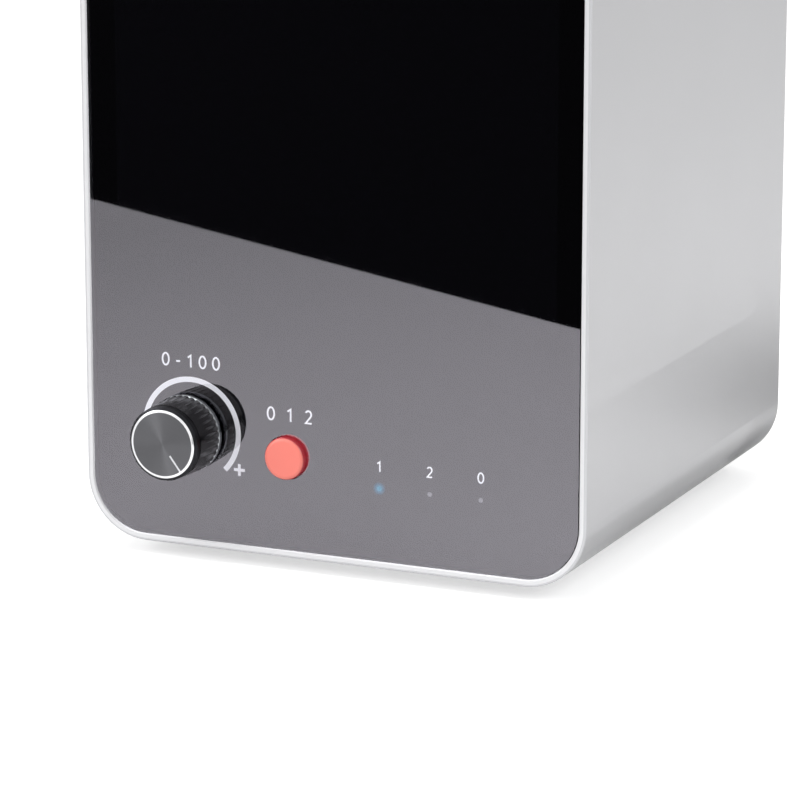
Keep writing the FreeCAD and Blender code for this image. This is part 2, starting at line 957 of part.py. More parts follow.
def knob_body():
    rim = named("knob_radius")
    recess_radius = named("knob_recess_radius")
    recess_back = -named("knob_recess_depth")
    insert = named("insert_radius")
    spigot = named("cap_spigot") + named("shaft_clearance")
    item = turned("knob_body", knob_x, knob_start, knob_z, [
        (0, seat_back), (spigot, seat_back), (spigot, cap_back),
        (knob_front_radius, cap_back), (rim, ring_front), (named("ring_seat"), ring_front),
        (named("ring_seat"), 0), (recess_radius, 0), (recess_radius, recess_back),
        (insert, recess_back), (insert, insert_front), (0, insert_front)])
    flute = new_sketch(item, "XZ_Plane", named("ring_length"))
    circle(flute, 0, rim + named("flute_out"), named("flute_radius"))
    groove = pocket(item, flute, ring_front - cap_back - named("flute_end"), True)
    ring = item.newObject("PartDesign::PolarPattern", "flutes")
    ring.Originals = [groove]
    ring.Axis = (flute, ["N_Axis"])
    ring.Angle = 360
    bind(ring, "Occurrences", named("flute_count"))
    item.Tip = ring
    return item


def knob_cap():
    face = -named("knob_length")
    rim = named("cap_radius")
    spigot = named("cap_spigot")
    return turned("knob_cap", knob_x, knob_start, knob_z, [
        (0, face), (rim - named("cap_chamfer"), face),
        (rim, face + named("cap_chamfer_depth")), (rim, cap_back),
        (spigot, cap_back), (spigot, seat_back), (0, seat_back)])


def knob_ring():
    rim = named("knob_radius")
    edge = named("edge_break")
    bore = named("ring_seat") + named("shaft_clearance")
    return turned("knob_ring", knob_x, knob_start, knob_z, [
        (bore, ring_front), (rim - edge, ring_front), (rim, ring_front + edge),
        (rim, -edge), (rim - edge, 0), (bore, 0)])


def knob_insert():
    outer = named("insert_radius") - named("shaft_clearance")
    bore = named("shaft_radius") + named("shaft_clearance")
    back = -named("knob_recess_depth")
    return turned("knob_insert", knob_x, knob_start, knob_z, [
        (bore, insert_front), (outer, insert_front), (outer, back), (bore, back)])


keep(knob_body())
keep(knob_cap())
keep(knob_ring())
keep(knob_insert())


# Potentiometer: its bushing comes through the front plate and carries washer and nut.

shaft_end = named("shaft_inside")
bushing_front = plate_back - named("plate_thickness") - named("washer_thickness") \
    - named("nut_thickness")


def pot_body():
    bushing = named("bushing_radius")
    can = named("pot_radius")
    bore = named("shaft_radius") + named("shaft_clearance")
    nose = bushing_front - plate_back
    depth = named("pot_depth")
    can_body = turned("pot_can", knob_x, plate_back, knob_z, [
        (bore, nose), (bushing, nose), (bushing, 0), (can, 0), (can, depth),
        (0, depth), (0, shaft_end + named("shaft_end_gap")),
        (bore, shaft_end + named("shaft_end_gap"))])
    wide = named("pot_lug_width")
    reach = named("pot_lug_length")
    lugs = [box(knob_x + step * named("pot_lug_pitch") - wide / 2,
                plate_back + named("pot_lug_inset"), knob_z - can - reach, wide,
                named("pot_lug_thickness"), reach + named("pot_lug_inset"))
            for step in (-1, 0, 1)]
    return fuse([can_body] + lugs, "pot_body")


def pot_shaft():
    tip = knob_start + insert_front
    return cylinder("Y", knob_x, tip, knob_z, named("shaft_radius"),
                    plate_back + shaft_end - tip)


shaft = keep(pot_shaft())
shaft.Label = "pot_shaft"
keep(pot_body())
washer_y = plate_face - named("washer_thickness")
thread_bore = named("bushing_radius") + named("shaft_clearance")
keep(cut(cylinder("Y", knob_x, washer_y, knob_z, named("nut_radius") + named("washer_rim"),
                  named("washer_thickness")),
         [cylinder("Y", knob_x, washer_y, knob_z, thread_bore, named("washer_thickness"))],
         "pot_washer"))
keep(cut(hexagon(knob_x, bushing_front, knob_z, named("nut_radius"),
                 named("nut_thickness")),
         [cylinder("Y", knob_x, bushing_front, knob_z, thread_bore,
                   named("nut_thickness"))], "pot_nut"))


# Mode button: a moulded cap behind the panel, on the plunger of a push switch.

flange_start = plate_back - panel_face + named("button_rest_gap")
flange_end = flange_start + named("button_flange_thickness")
plunger_start = flange_end + named("stem_length")
board_front = plate_back + named("front_board_offset")
switch_start = board_front - named("switch_depth")


def mode_button():
    rim = named("button_radius")
    flange = named("button_flange")
    stem = named("stem_radius")
    face = -named("button_reach")
    item = turned("mode_button", button_x, panel_face, button_z, [
        (0, face), (rim, face), (rim, flange_start), (flange, flange_start),
        (flange, flange_end), (stem, flange_end), (stem, plunger_start),
        (0, plunger_start)])

    def front_edge(edge):
        ends = edge.BoundBox
        return ends.YMax - ends.YMin < 0.01 and abs(ends.YMin - face.value) < 0.01

    soften(item, "Fillet", named("button_edge"), front_edge)
    return item


keep(mode_button())
plunger_y = panel_face + plunger_start
plunger = keep(cylinder("Y", button_x, plunger_y, button_z, named("plunger_radius"),
                        switch_start + named("plunger_sink") - plunger_y))
plunger.Label = "mode_plunger"
half_switch = named("switch_width") / 2
keep(cut(box(button_x - half_switch, switch_start, button_z - half_switch,
             2 * half_switch, named("switch_depth"), 2 * half_switch),
         [cylinder("Y", button_x, switch_start, button_z,
                   named("plunger_radius") + named("plunger_gap"),
                   named("plunger_sink") + named("button_travel")
                   + named("plunger_end_gap"))],
         "mode_switch"))


# Front board: carries the switch and three lamps, whose light goes through clear pipes.

board_gauge = named("board_thickness")
front_board_left = named("front_board_from_left") - half_width
front_board_right = front_board_left + named("front_board_width")
front_board_spots = [(x, z)
                     for x in (front_board_left + named("board_corner"),
                               front_board_right - named("board_corner"))
                     for z in (base + named("front_board_low") + named("board_corner"),
                               base + named("front_board_high") - named("board_corner"))]


def front_board():
    plate = box(front_board_left, board_front, base + named("front_board_low"),
                named("front_board_width"), board_gauge,
                named("front_board_high") - named("front_board_low"))
    holes = [cylinder("Y", x, board_front, z, screw_hole, board_gauge)
             for x, z in front_board_spots]
    return cut(plate, holes, "front_board")


def front_spacer(x, z):
    length = named("front_board_offset")
    return cut(cylinder("Y", x, plate_back, z, named("spacer_radius"), length),
               [cylinder("Y", x, plate_back, z, screw + named("shaft_clearance"), length)])


def lamp(x):
    length = named("led_length")
    start = board_front - length
    dome = doc.addObject("Part::Sphere", "dome")
    bind(dome, "Radius", named("led_radius"))
    put(dome, x, start, indicator_z)
    return fuse([cylinder("Y", x, start, indicator_z, named("led_radius"), length), dome])


def light_pipe(x):
    collar = named("pipe_collar_thickness")
    end = board_front - named("led_length") - named("led_radius") - named("led_gap")
    start = tape_face + named("pipe_gap")
    rod = cylinder("Y", x, start, indicator_z, named("pipe_radius"), end - start)
    ring = cylinder("Y", x, plate_back, indicator_z, named("pipe_collar"), collar)
    return fuse([rod, ring])


keep(front_board())
keep(group([front_spacer(x, z) for x, z in front_board_spots], "front_spacers"))
keep(group([lamp(x) for x in indicator_places], "indicator_lamps"))
keep(group([light_pipe(x) for x in indicator_places], "light_pipes"))


# Boards on the tray: the mains supply on the left, the high-voltage driver on the right.

tray_board_z = tray_top + named("tray_spacer")
board_width = tray_half - named("tray_board_side_gap") - named("tray_board_middle_gap")
board_length = named("tray_board_length")
tray_board_y = front + named("tray_board_start")
supply_left = named("tray_board_side_gap") - tray_half
driver_left = named("tray_board_middle_gap")
tray_corners = board_corners(supply_left, tray_board_y, board_width, board_length) \
    + board_corners(driver_left, tray_board_y, board_width, board_length)
shelf_board_z = shelf_top + named("shelf_spacer")


def flat_board(label, left, start, level, width, length, corners):
    plate = box(left, start, level, width, length, board_gauge)
    holes = [cylinder("Z", x, y, level, screw_hole, board_gauge) for x, y in corners]
    return cut(plate, holes, label)


def upright_spacer(x, y, level, height):
    return cut(cylinder("Z", x, y, level, named("spacer_radius"), height),
               [cylinder("Z", x, y, level, screw + named("shaft_clearance"), height)])


def upright_screw(x, y, board_top):
    head = cylinder("Z", x, y, board_top, named("screw_head_radius"),
                    named("screw_head_height"))
    length = board_gauge + named("screw_bite")
    return fuse([head, cylinder("Z", x, y, board_top - length, screw, length)])


def level_screw(x, z, board_back):
    head = cylinder("Y", x, board_back, z, named("screw_head_radius"),
                    named("screw_head_height"))
    length = board_gauge + named("screw_bite")
    return fuse([head, cylinder("Y", x, board_back - length, z, screw, length)])


def block_screw(x, y):
    head = cylinder("Z", x, y, shelf_low - named("screw_head_height"),
                    named("screw_head_radius"), named("screw_head_height"))
    return fuse([head, cylinder("Z", x, y, shelf_low, screw,
                                named("sheet_thickness") + named("block_screw_bite"))])


keep(flat_board("supply_board", supply_left, tray_board_y, tray_board_z, board_width,
                board_length, tray_corners[:4]))
keep(flat_board("driver_board", driver_left, tray_board_y, tray_board_z, board_width,
                board_length, tray_corners[4:]))
keep(flat_board("control_board", shelf_board_left, front + named("shelf_board_start"),
                shelf_board_z, named("shelf_board_width"), named("shelf_board_length"),
                shelf_board_corners))
keep(group([upright_spacer(x, y, tray_top, named("tray_spacer")) for x, y in tray_corners]
           + [upright_spacer(x, y, shelf_top, named("shelf_spacer"))
              for x, y in shelf_board_corners], "board_spacers"))
keep(group([upright_screw(x, y, tray_board_z + board_gauge) for x, y in tray_corners]
           + [upright_screw(x, y, shelf_board_z + board_gauge)
              for x, y in shelf_board_corners]
           + [level_screw(x, z, board_front + board_gauge) for x, z in front_board_spots]
           + [block_screw(x, y + named("block_length") / 2)
              for x in block_screw_x for y in block_y], "board_screws"))

component_z = tray_board_z + board_gauge
supply_x = supply_left + board_width / 2
driver_x = driver_left + board_width / 2


def supply_transformer():
    core_start = tray_board_y + named("mains_core_start")
    width = named("mains_core_width")
    length = named("mains_core_length")
    core = box(supply_x - width / 2, core_start, component_z, width, length,
               named("mains_core_height"))
    coil = cylinder("Z", supply_x, core_start + length / 2, component_z,
                    named("mains_coil_radius"), named("mains_coil_height"))
    return fuse([core, coil], "supply_transformer")


def supply_capacitor(side):
    across = named("capacitor_radius") + named("capacitor_gap")
    return cylinder("Z", supply_x + side * across, tray_board_y + named("capacitor_start"),
                    component_z, named("capacitor_radius"), named("capacitor_height"))


def finned_sink(label, x, y, length, height, fins):
    """An upright heatsink along Y with fins towards +X."""
    spine = named("sink_spine")
    fin = named("sink_fin_thickness")
    pitch = (length - fin) / (fins - 1)
    blades = [box(x, y + step * pitch, component_z, spine + named("sink_fin_reach"), fin,
                  height) for step in range(int(fins.value))]
    return fuse([box(x, y, component_z, spine, length, height)] + blades, label)


driver_sink_x = driver_x + named("driver_sink_right")
driver_sink_y = tray_board_y + named("driver_sink_start")


def driver_transistor(step):
    """It stands flat against the back of the driver's heatsink."""
    thickness = named("transistor_thickness")
    start = driver_sink_y + named("transistor_start") + step * named("transistor_pitch")
    return box(driver_sink_x - thickness, start, component_z + named("transistor_rise"),
               thickness, named("transistor_width"), named("transistor_height"))


keep(supply_transformer())
keep(group([supply_capacitor(side) for side in (-1, 1)], "supply_capacitors"))
keep(finned_sink("supply_heatsink", supply_x - named("supply_sink_left"),
                 tray_board_y + named("supply_sink_start"), named("supply_sink_length"),
                 named("supply_sink_height"), named("supply_sink_fins")))
keep(finned_sink("driver_heatsink", driver_sink_x, driver_sink_y,
                 named("driver_sink_length"), named("driver_sink_height"),
                 named("driver_sink_fins")))
keep(group([driver_transistor(step) for step in range(2)], "driver_transistors"))


# High-voltage transformer: a pair of E cores round one bobbin, which is wound in sections.

core_y = tray_board_y + named("core_start")
core_depth = named("core_depth")
core_leg = named("core_leg")
window_z = component_z + named("core_yoke")
window_height = named("core_height") - 2 * named("core_yoke")


def transformer_core():
    width = named("core_width")
    limb = named("core_limb")
    window = (width - core_leg) / 2 - limb
    frame = box(driver_x - width / 2, core_y, component_z, width, core_depth,
                named("core_height"))
    windows = [box(x, core_y, window_z, window, core_depth, window_height)
               for x in (driver_x - width / 2 + limb, driver_x + core_leg / 2)]
    return cut(frame, windows, "transformer_core")


def transformer_coil():
    middle = core_y + core_depth / 2
    low = window_z + named("coil_end_gap")
    length = window_height - 2 * named("coil_end_gap")
    cheek = named("coil_cheek")
    pitch = (length - cheek) / (named("coil_cheeks") - 1)
    spool = cylinder("Z", driver_x, middle, low, named("coil_radius"), length)
    cheeks = [cylinder("Z", driver_x, middle, low + step * pitch,
                       named("coil_cheek_radius"), cheek)
              for step in range(int(named("coil_cheeks").value))]
    gap = named("seat_gap")
    leg = box(driver_x - core_leg / 2 - gap, core_y - gap, window_z, core_leg + 2 * gap,
              core_depth + 2 * gap, window_height)
    return cut(fuse([spool] + cheeks), [leg], "transformer_coil")


def control_relay(step):
    start = front + named("shelf_board_start") + named("relay_start")
    return box(shelf_board_left + named("relay_left"), start + step * named("relay_pitch"),
               shelf_board_z + board_gauge, named("relay_width"), named("relay_length"),
               named("relay_height"))


keep(transformer_core())
keep(transformer_coil())
keep(group([control_relay(step) for step in range(3)], "control_relays"))


# Discharge cell: a glass tube in two end blocks, with a rod electrode inside it and a
# slotted sleeve electrode on the outside. Air flows in the ring between rod and glass.

front_block_y, rear_block_y = block_y
seat_depth = named("block_seat")
block_length = named("block_length")
glass = named("glass_radius")
glass_bore = glass - named("glass_wall")
glass_start = front_block_y + block_length - seat_depth
glass_middle = glass_start + named("glass_length") / 2
port_y = glass_start - named("chamber_depth") + named("stub_bore")
block_high = cell_z + named("block_top")
stub_top = block_high + named("stub_length")


def end_block(start, facing):
    """One insulating block. facing is 1 where its glass seat opens to the back."""
    half = named("block_width") / 2
    solid = box(cell_x - half, start, shelf_top, 2 * half, block_length,
                block_high - shelf_top)
    seat_start = start + block_length - seat_depth if facing == 1 else start
    chamber = named("chamber_depth")
    chamber_start = seat_start - chamber if facing == 1 else start + seat_depth
    tools = [cylinder("Y", cell_x, seat_start, cell_z, glass + named("seat_gap"),
                      seat_depth),
             cylinder("Y", cell_x, chamber_start, cell_z, glass_bore, chamber)]
    for x in block_screw_x:
        tools.append(cylinder("Z", x, start + block_length / 2, shelf_top,
                              screw + named("shaft_clearance"),
                              named("block_hole_depth")))
    if facing == 1:
        stub = cylinder("Z", cell_x, port_y, block_high, named("stub_radius"),
                        named("stub_length"))
        tools.append(cylinder("Z", cell_x, port_y, cell_z, named("stub_bore"),
                              stub_top - cell_z))
        tools.append(cylinder("Y", cell_x, start, cell_z,
                              named("stud_radius") + named("shaft_clearance"),
                              block_length))
    else:
        stub = cylinder("Y", cell_x, start + block_length, cell_z, named("stub_radius"),
                        named("stub_length"))
        tools.append(cylinder("Y", cell_x, start, cell_z, named("stub_bore"),
                              block_length + named("stub_length")))
    return cut(fuse([solid, stub]), tools)


def inner_electrode():
    rod_start = glass_middle - named("electrode_length") / 2
    rod = cylinder("Y", cell_x, rod_start, cell_z, glass_bore - named("electrode_gap"),
                   named("electrode_length"))
    stud = cylinder("Y", cell_x, rod_start - named("stud_length"), cell_z,
                    named("stud_radius"), named("stud_length"))
    nut_length = named("stud_nut_length")
    nut = hexagon(cell_x, front_block_y - nut_length, cell_z, 2 * named("stud_radius"),
                  nut_length)
    return fuse([rod, stud, nut], "inner_electrode")


def outer_electrode():
    start = glass_middle - named("sleeve_length") / 2
    inside = glass + named("shaft_clearance")
    outside = inside + named("sleeve_thickness")
    item = new_body("outer_electrode", cell_x, start, cell_z)
    section = new_sketch(item, "XZ_Plane")
    circle(section, 0, 0, outside)
    circle(section, 0, 0, inside)
    pad(item, section, named("sleeve_length"), True)
    edge = named("sleeve_end")
    slot = new_sketch(item, "XY_Plane")
    half = named("sleeve_slot_width") / 2
    rectangle(slot, -half, edge, half, named("sleeve_length") - edge)
    opening = pocket(item, slot, outside + 1, True)
    ring = item.newObject("PartDesign::PolarPattern", "slots")
    ring.Originals = [opening]
    ring.Axis = (section, ["N_Axis"])
    ring.Angle = 360
    bind(ring, "Occurrences", named("sleeve_slots"))
    item.Tip = ring
    return item


def glass_tube():
    length = named("glass_length")
    return cut(cylinder("Y", cell_x, glass_start, cell_z, glass, length),
               [cylinder("Y", cell_x, glass_start, cell_z, glass_bore, length)],
               "glass_tube")


keep(group([end_block(front_block_y, 1), end_block(rear_block_y, -1)], "cell_blocks"))
keep(glass_tube())
keep(inner_electrode())
keep(outer_electrode())


# Air pump: a diaphragm head with an upright motor. A short hose takes the air to the cell.

pump_y = front + named("pump_start")
pump_half = named("pump_width") / 2
head_top = shelf_top + named("pump_head_height")
pump_port_y = pump_y + named("pump_head_length") - named("pump_port_inset")
hose_bore = named("stub_radius") + named("hose_gap")
hose_radius = hose_bore + named("hose_wall")


def pump_head():
    block = box(cell_x - pump_half, pump_y, shelf_top, 2 * pump_half,
                named("pump_head_length"), named("pump_head_height"))
    stub = cylinder("Z", cell_x, pump_port_y, head_top, named("stub_radius"),
                    named("stub_length"))
    floor = shelf_top + named("pump_port_floor")
    bore = cylinder("Z", cell_x, pump_port_y, floor, named("stub_bore"),
                    head_top + named("stub_length") - floor)
    return cut(fuse([block, stub]), [bore], "pump_head")


def pump_motor():
    radius = named("pump_motor_radius")
    middle = pump_y + radius + named("pump_motor_inset")
    can = cylinder("Z", cell_x, middle, head_top, radius, named("pump_motor_height"))
    boss = cylinder("Z", cell_x, middle, head_top + named("pump_motor_height"),
                    named("pump_boss_radius"), named("pump_boss_height"))
    return fuse([can, boss], "pump_motor")


def inlet_hose():
    """A soft hose from the pump's stub up, over in a half circle and down to the cell."""
    end_gap = named("hose_end_gap").value
    start = head_top.value + end_gap
    crown = stub_top.value + named("hose_rise").value
    near = pump_port_y.value
    far = port_y.value
    x = cell_x.value
    turn = (far - near) / 2
    up = Part.LineSegment(Vector(x, near, start), Vector(x, near, crown))
    over = Part.Arc(Vector(x, near, crown), Vector(x, near + turn, crown + turn),
                    Vector(x, far, crown))
    down = Part.LineSegment(Vector(x, far, crown), Vector(x, far, block_high.value + end_gap))
    path = Part.Wire([up.toShape(), over.toShape(), down.toShape()])
    solids = []
    for radius in (hose_radius.value, hose_bore.value):
        ring = Part.Wire(Part.Circle(Vector(x, near, start), Vector(0, 0, 1), radius).toShape())
        solids.append(path.makePipeShell([ring], True, True))
    item = doc.addObject("Part::Feature", "hose")
    item.Label = "inlet_hose"
    item.Shape = solids[0].cut(solids[1])
    return item


keep(pump_head())
keep(pump_motor())
keep(inlet_hose())


# Outlet: a turned spigot through the rear panel, held by a nut, and its hose to the cell.

def outlet_spigot():
    flange = named("outlet_flange")
    flange_y = named("outlet_flange_thickness")
    spigot = named("outlet_radius")
    tip = named("outlet_length")
    chamfer = named("outlet_chamfer")
    thread = named("outlet_thread")
    thread_end = -(named("rear_thickness") + named("outlet_thread_length") - rear_recess)
    stub = named("stub_radius")
    stub_end = thread_end - named("stub_length")
    bore = named("stub_bore")
    return turned("outlet_spigot", cell_x, rear_face, cell_z, [
        (bore, stub_end), (stub, stub_end), (stub, thread_end), (thread, thread_end),
        (thread, 0), (flange, 0), (flange, flange_y), (spigot, flange_y),
        (spigot, tip - chamfer), (spigot - chamfer, tip), (bore, tip)])


keep(outlet_spigot())
outlet_nut_length = named("outlet_nut_length")
outlet_nut_y = rear_inner - outlet_nut_length
keep(cut(hexagon(cell_x, outlet_nut_y, cell_z, named("outlet_nut_radius"),
                 outlet_nut_length),
         [cylinder("Y", cell_x, outlet_nut_y, cell_z,
                   named("outlet_thread") + named("shaft_clearance"), outlet_nut_length)],
         "outlet_nut"))
outlet_stub_y = rear_inner - named("outlet_thread_length") + rear_recess
outlet_hose_y = rear_block_y + block_length + named("hose_end_gap")
outlet_hose_length = outlet_stub_y - named("hose_end_gap") - outlet_hose_y
keep(cut(cylinder("Y", cell_x, outlet_hose_y, cell_z, hose_radius, outlet_hose_length),
         [cylinder("Y", cell_x, outlet_hose_y, cell_z, hose_bore, outlet_hose_length)],
         "outlet_hose"))


# Cooling fan: a square frame with a round duct, a stator on four struts and a bladed rotor.

fan_depth = named("fan_depth")
fan_front = rear_inner - fan_depth
duct = named("fan_duct")
hub = named("fan_hub")
hub_base = rear_inner - named("fan_flange")
hub_front = fan_front + named("fan_hub_inset")


def fan_frame():
    half = named("fan_size") / 2
    spread = named("fan_hole_spacing") / 2
    item = new_body("fan_duct", fan_x, fan_front, fan_z)
    section = new_sketch(item, "XZ_Plane")
    rounded_rectangle(section, -half, -half, half, half, named("fan_corner"))
    circle(section, 0, 0, duct)
    for x_side in (-1, 1):
        for z_side in (-1, 1):
            circle(section, x_side * spread, z_side * spread, screw_hole)
    pad(item, section, fan_depth, True)
    strut = named("fan_strut")
    reach = duct + named("fan_strut_root")
    struts = [
        box(fan_x - reach, hub_base, fan_z - strut / 2, 2 * reach, named("fan_flange"), strut),
        box(fan_x - strut / 2, hub_base, fan_z - reach, strut, named("fan_flange"), 2 * reach),
    ]
    mount = cylinder("Y", fan_x, hub_base, fan_z, hub, named("fan_flange"))
    stator_front = hub_front + named("fan_stator_inset")
    stator = cylinder("Y", fan_x, stator_front, fan_z, named("fan_stator"),
                      hub_base - stator_front)
    bore = cylinder("Y", fan_x, stator_front, fan_z,
                    named("fan_shaft") + named("shaft_clearance"), hub_base - stator_front)
    return cut(fuse([item] + struts + [mount, stator]), [bore], "fan_frame")


def blade(turn):
    """One curved blade: lofted from a steep root at the hub to a flatter tip."""
    thickness = named("blade_thickness").value
    tip = duct.value - named("fan_tip_gap").value
    root = hub.value - named("blade_seat").value
    span_y = hub_base.value - named("fan_hub_gap").value - hub_front.value
    wires = []
    camber = named("blade_camber").value
    for radius, pitch in ((root, named("blade_root_degrees")),
                          (tip, named("blade_tip_degrees"))):
        slope = math.radians(pitch.value)
        chord = span_y / 2 / math.sin(slope) * named("blade_fill").value
        ends = []
        for side in (-1, 1):
            for along, bulge in ((-1.0, 0.0), (0.0, camber), (1.0, 0.0)):
                across = bulge * chord + side * thickness / 2
                x = along * chord * math.cos(slope) - across * math.sin(slope)
                y = along * chord * math.sin(slope) + across * math.cos(slope)
                ends.append(Vector(x, y, radius))
        lower = Part.Arc(ends[0], ends[1], ends[2]).toShape()
        upper = Part.Arc(ends[5], ends[4], ends[3]).toShape()
        sides = [Part.LineSegment(ends[2], ends[5]).toShape(),
                 Part.LineSegment(ends[3], ends[0]).toShape()]
        wires.append(Part.Wire([lower, sides[0], upper, sides[1]]))
    solid = Part.makeLoft(wires, True, True)
    solid.rotate(Vector(), Vector(0, 1, 0), turn)
    return solid


def fan_rotor():
    back = hub_base - named("fan_hub_gap")
    inner = hub.value - named("fan_hub_wall").value
    length = back.value - hub_front.value
    floor = named("fan_hub_floor").value
    axis = Vector(0, 1, 0)
    cup = Part.makeCylinder(hub.value, length, Vector(), axis)
    cup = cup.cut(Part.makeCylinder(inner, length, Vector(0, floor, 0), axis))
    shaft_length = (hub_base - hub_front - named("fan_shaft_gap")).value
    cup = cup.fuse(Part.makeCylinder(named("fan_shaft").value, shaft_length, Vector(), axis))
    count = int(named("fan_blades").value)
    blades = []
    limit = Part.makeCylinder(duct.value - named("fan_tip_gap").value, length, Vector(), axis)
    trim = inner + named("blade_trim").value
    limit = limit.cut(Part.makeCylinder(trim, length, Vector(), axis))
    for step in range(count):
        vane = blade(step * 360.0 / count)
        vane.translate(Vector(0, length / 2, 0))
        blades.append(vane.common(limit))
    item = doc.addObject("Part::Feature", "rotor")
    item.Label = "fan_rotor"
    item.Shape = cup.fuse(blades).removeSplitter()
    put(item, fan_x, hub_front, fan_z)
    return item


def fan_guard():
    wire = named("guard_wire")
    spread = named("fan_hole_spacing") / 2
    ring_y = rear_face + 3 * wire - named("guard_weld")
    count = int(named("guard_rings").value)
    pieces = [torus(fan_x, ring_y, fan_z, duct * (step + 1) / count, wire)
              for step in range(count)]
    reach = spread * math.sqrt(2) - named("guard_eyelet")
    corner = reach * math.sqrt(0.5)
    for turn, start_z in ((45, fan_z - corner), (135, fan_z + corner)):
        spoke = doc.addObject("Part::Cylinder", "spoke")
        spoke.Placement = Placement(Vector(), Rotation(Vector(0, 1, 0), turn))
        bind(spoke, "Radius", wire)
        bind(spoke, "Height", 2 * reach)
        put(spoke, fan_x - corner, rear_face + wire, start_z)
        pieces.append(spoke)
    for x_side in (-1, 1):
        for z_side in (-1, 1):
            pieces.append(torus(fan_x + x_side * spread, rear_face + wire,
                                fan_z + z_side * spread, named("guard_eyelet"), wire))
    return fuse(pieces, "fan_guard")


def fan_screw(x, z):
    start = rear_face + 2 * named("guard_wire")
    head = cylinder("Y", x, start, z, named("screw_head_radius"),
                    named("screw_head_height"))
    reach = start - (rear_inner - named("fan_flange"))
    return fuse([head, cylinder("Y", x, start - reach, z, screw, reach)])


keep(fan_frame())
keep(fan_rotor())
keep(fan_guard())
half_spacing = named("fan_hole_spacing") / 2
keep(group([fan_screw(fan_x + x_side * half_spacing, fan_z + z_side * half_spacing)
            for x_side in (-1, 1) for z_side in (-1, 1)], "fan_screws"))


# Power entry: one moulded housing with the mains socket, the fuse drawer and the switch.

socket_z = inlet_z - named("socket_drop")
drawer_z = inlet_z + named("drawer_rise")
rocker_z = inlet_z + named("rocker_rise")
flange_face = rear_face + named("inlet_flange_thickness")
pin_spots = [(-named("pin_spacing") / 2, -named("pin_rise") / 2),
             (named("pin_spacing") / 2, -named("pin_rise") / 2),
             (as_size(0), named("pin_rise") / 2)]


def power_inlet():
    item = new_body("power_inlet", inlet_x, rear_face, inlet_z)
    flange = new_sketch(item, "XZ_Plane")
    half_x = named("inlet_flange_width") / 2
    half_z = named("inlet_flange_height") / 2
    rounded_rectangle(flange, -half_x, -half_z, half_x, half_z, named("inlet_corner"))
    for side in (-1, 1):
        circle(flange, side * named("inlet_screw_spacing") / 2, -named("socket_drop"),
               screw_hole)
    pad(item, flange, named("inlet_flange_thickness"), True)
    block = new_sketch(item, "XZ_Plane")
    half_x = named("inlet_body_width") / 2
    half_z = named("inlet_body_height") / 2
    rectangle(block, -half_x, -half_z, half_x, half_z)
    pad(item, block, named("inlet_body_depth"))

    outward = -named("inlet_flange_thickness")
    socket = new_sketch(item, "XZ_Plane", outward)
    wide = named("socket_width") / 2
    tall = named("socket_height") / 2
    key = named("socket_key")
    drop = named("socket_drop")
    outline(socket, [(-wide, -drop - tall), (wide, -drop - tall), (wide, tall - key - drop),
                     (wide - key, tall - drop), (key - wide, tall - drop),
                     (-wide, tall - key - drop)])
    pocket(item, socket, named("socket_depth"), True)
    drawer = new_sketch(item, "XZ_Plane", outward)
    wide = named("drawer_width") / 2
    tall = named("drawer_height") / 2
    rise = named("drawer_rise")
    rectangle(drawer, -wide, rise - tall, wide, rise + tall)
    pocket(item, drawer, named("drawer_depth"), True)
    window = new_sketch(item, "XZ_Plane", outward)
    wide = named("rocker_window_width") / 2
    tall = named("rocker_window_height") / 2
    rise = named("rocker_rise")
    rectangle(window, -wide, rise - tall, wide, rise + tall)
    pocket(item, window, named("rocker_window_depth"), True)
    slots = new_sketch(item, "XZ_Plane", outward)
    wide = named("pin_width") / 2
    tall = named("pin_height") / 2
    for x, z in pin_spots:
        rectangle(slots, x - wide, z - tall - drop, x + wide, z + tall - drop)
    pocket(item, slots, named("inlet_flange_thickness") + named("inlet_body_depth"), True)
    return item


def inlet_pin(x, z):
    start = rear_face - named("inlet_body_depth") - named("pin_tail")
    length = flange_face - named("pin_recess") - start
    return box(inlet_x + x - named("pin_width") / 2, start,
               socket_z + z - named("pin_height") / 2, named("pin_width"), length,
               named("pin_height"))


def inlet_screw(side):
    x = inlet_x + side * named("inlet_screw_spacing") / 2
    head = cylinder("Y", x, flange_face, socket_z, named("screw_head_radius"),
                    named("screw_head_height"))
    length = flange_face - rear_inner + named("inlet_screw_bite")
    return fuse([head, cylinder("Y", x, flange_face - length, socket_z, screw, length)])


keep(power_inlet())
keep(group([inlet_pin(x, z) for x, z in pin_spots], "inlet_pins"))
keep(group([inlet_screw(side) for side in (-1, 1)], "inlet_screws"))

fuse_floor = named("fuse_floor")
fuse_y = flange_face - named("fuse_depth")


def fuse_drawer():
    gap = named("drawer_gap")
    wide = named("drawer_width") - 2 * gap
    tall = named("drawer_height") - 2 * gap
    deep = named("drawer_depth") - gap
    low = drawer_z - tall / 2
    tongue = box(inlet_x - wide / 2, flange_face - deep, low, wide, deep + gap, tall)
    side = named("lip_side")
    rise = named("lip_rise")
    lip = box(inlet_x - wide / 2 - side, flange_face + gap, low - rise, wide + 2 * side,
              named("drawer_lip"), tall + 2 * rise)
    nook = box(inlet_x - named("fuse_length") / 2 - gap, fuse_y - named("fuse_radius") - gap,
               low + fuse_floor, named("fuse_length") + 2 * gap,
               2 * (named("fuse_radius") + gap), tall)
    notch = cylinder("X", inlet_x - named("notch_width") / 2,
                     flange_face + gap + named("drawer_lip") + named("notch_out"),
                     low - rise, named("notch_radius"), named("notch_width"))
    return cut(fuse([tongue, lip]), [nook, notch], "fuse_drawer")


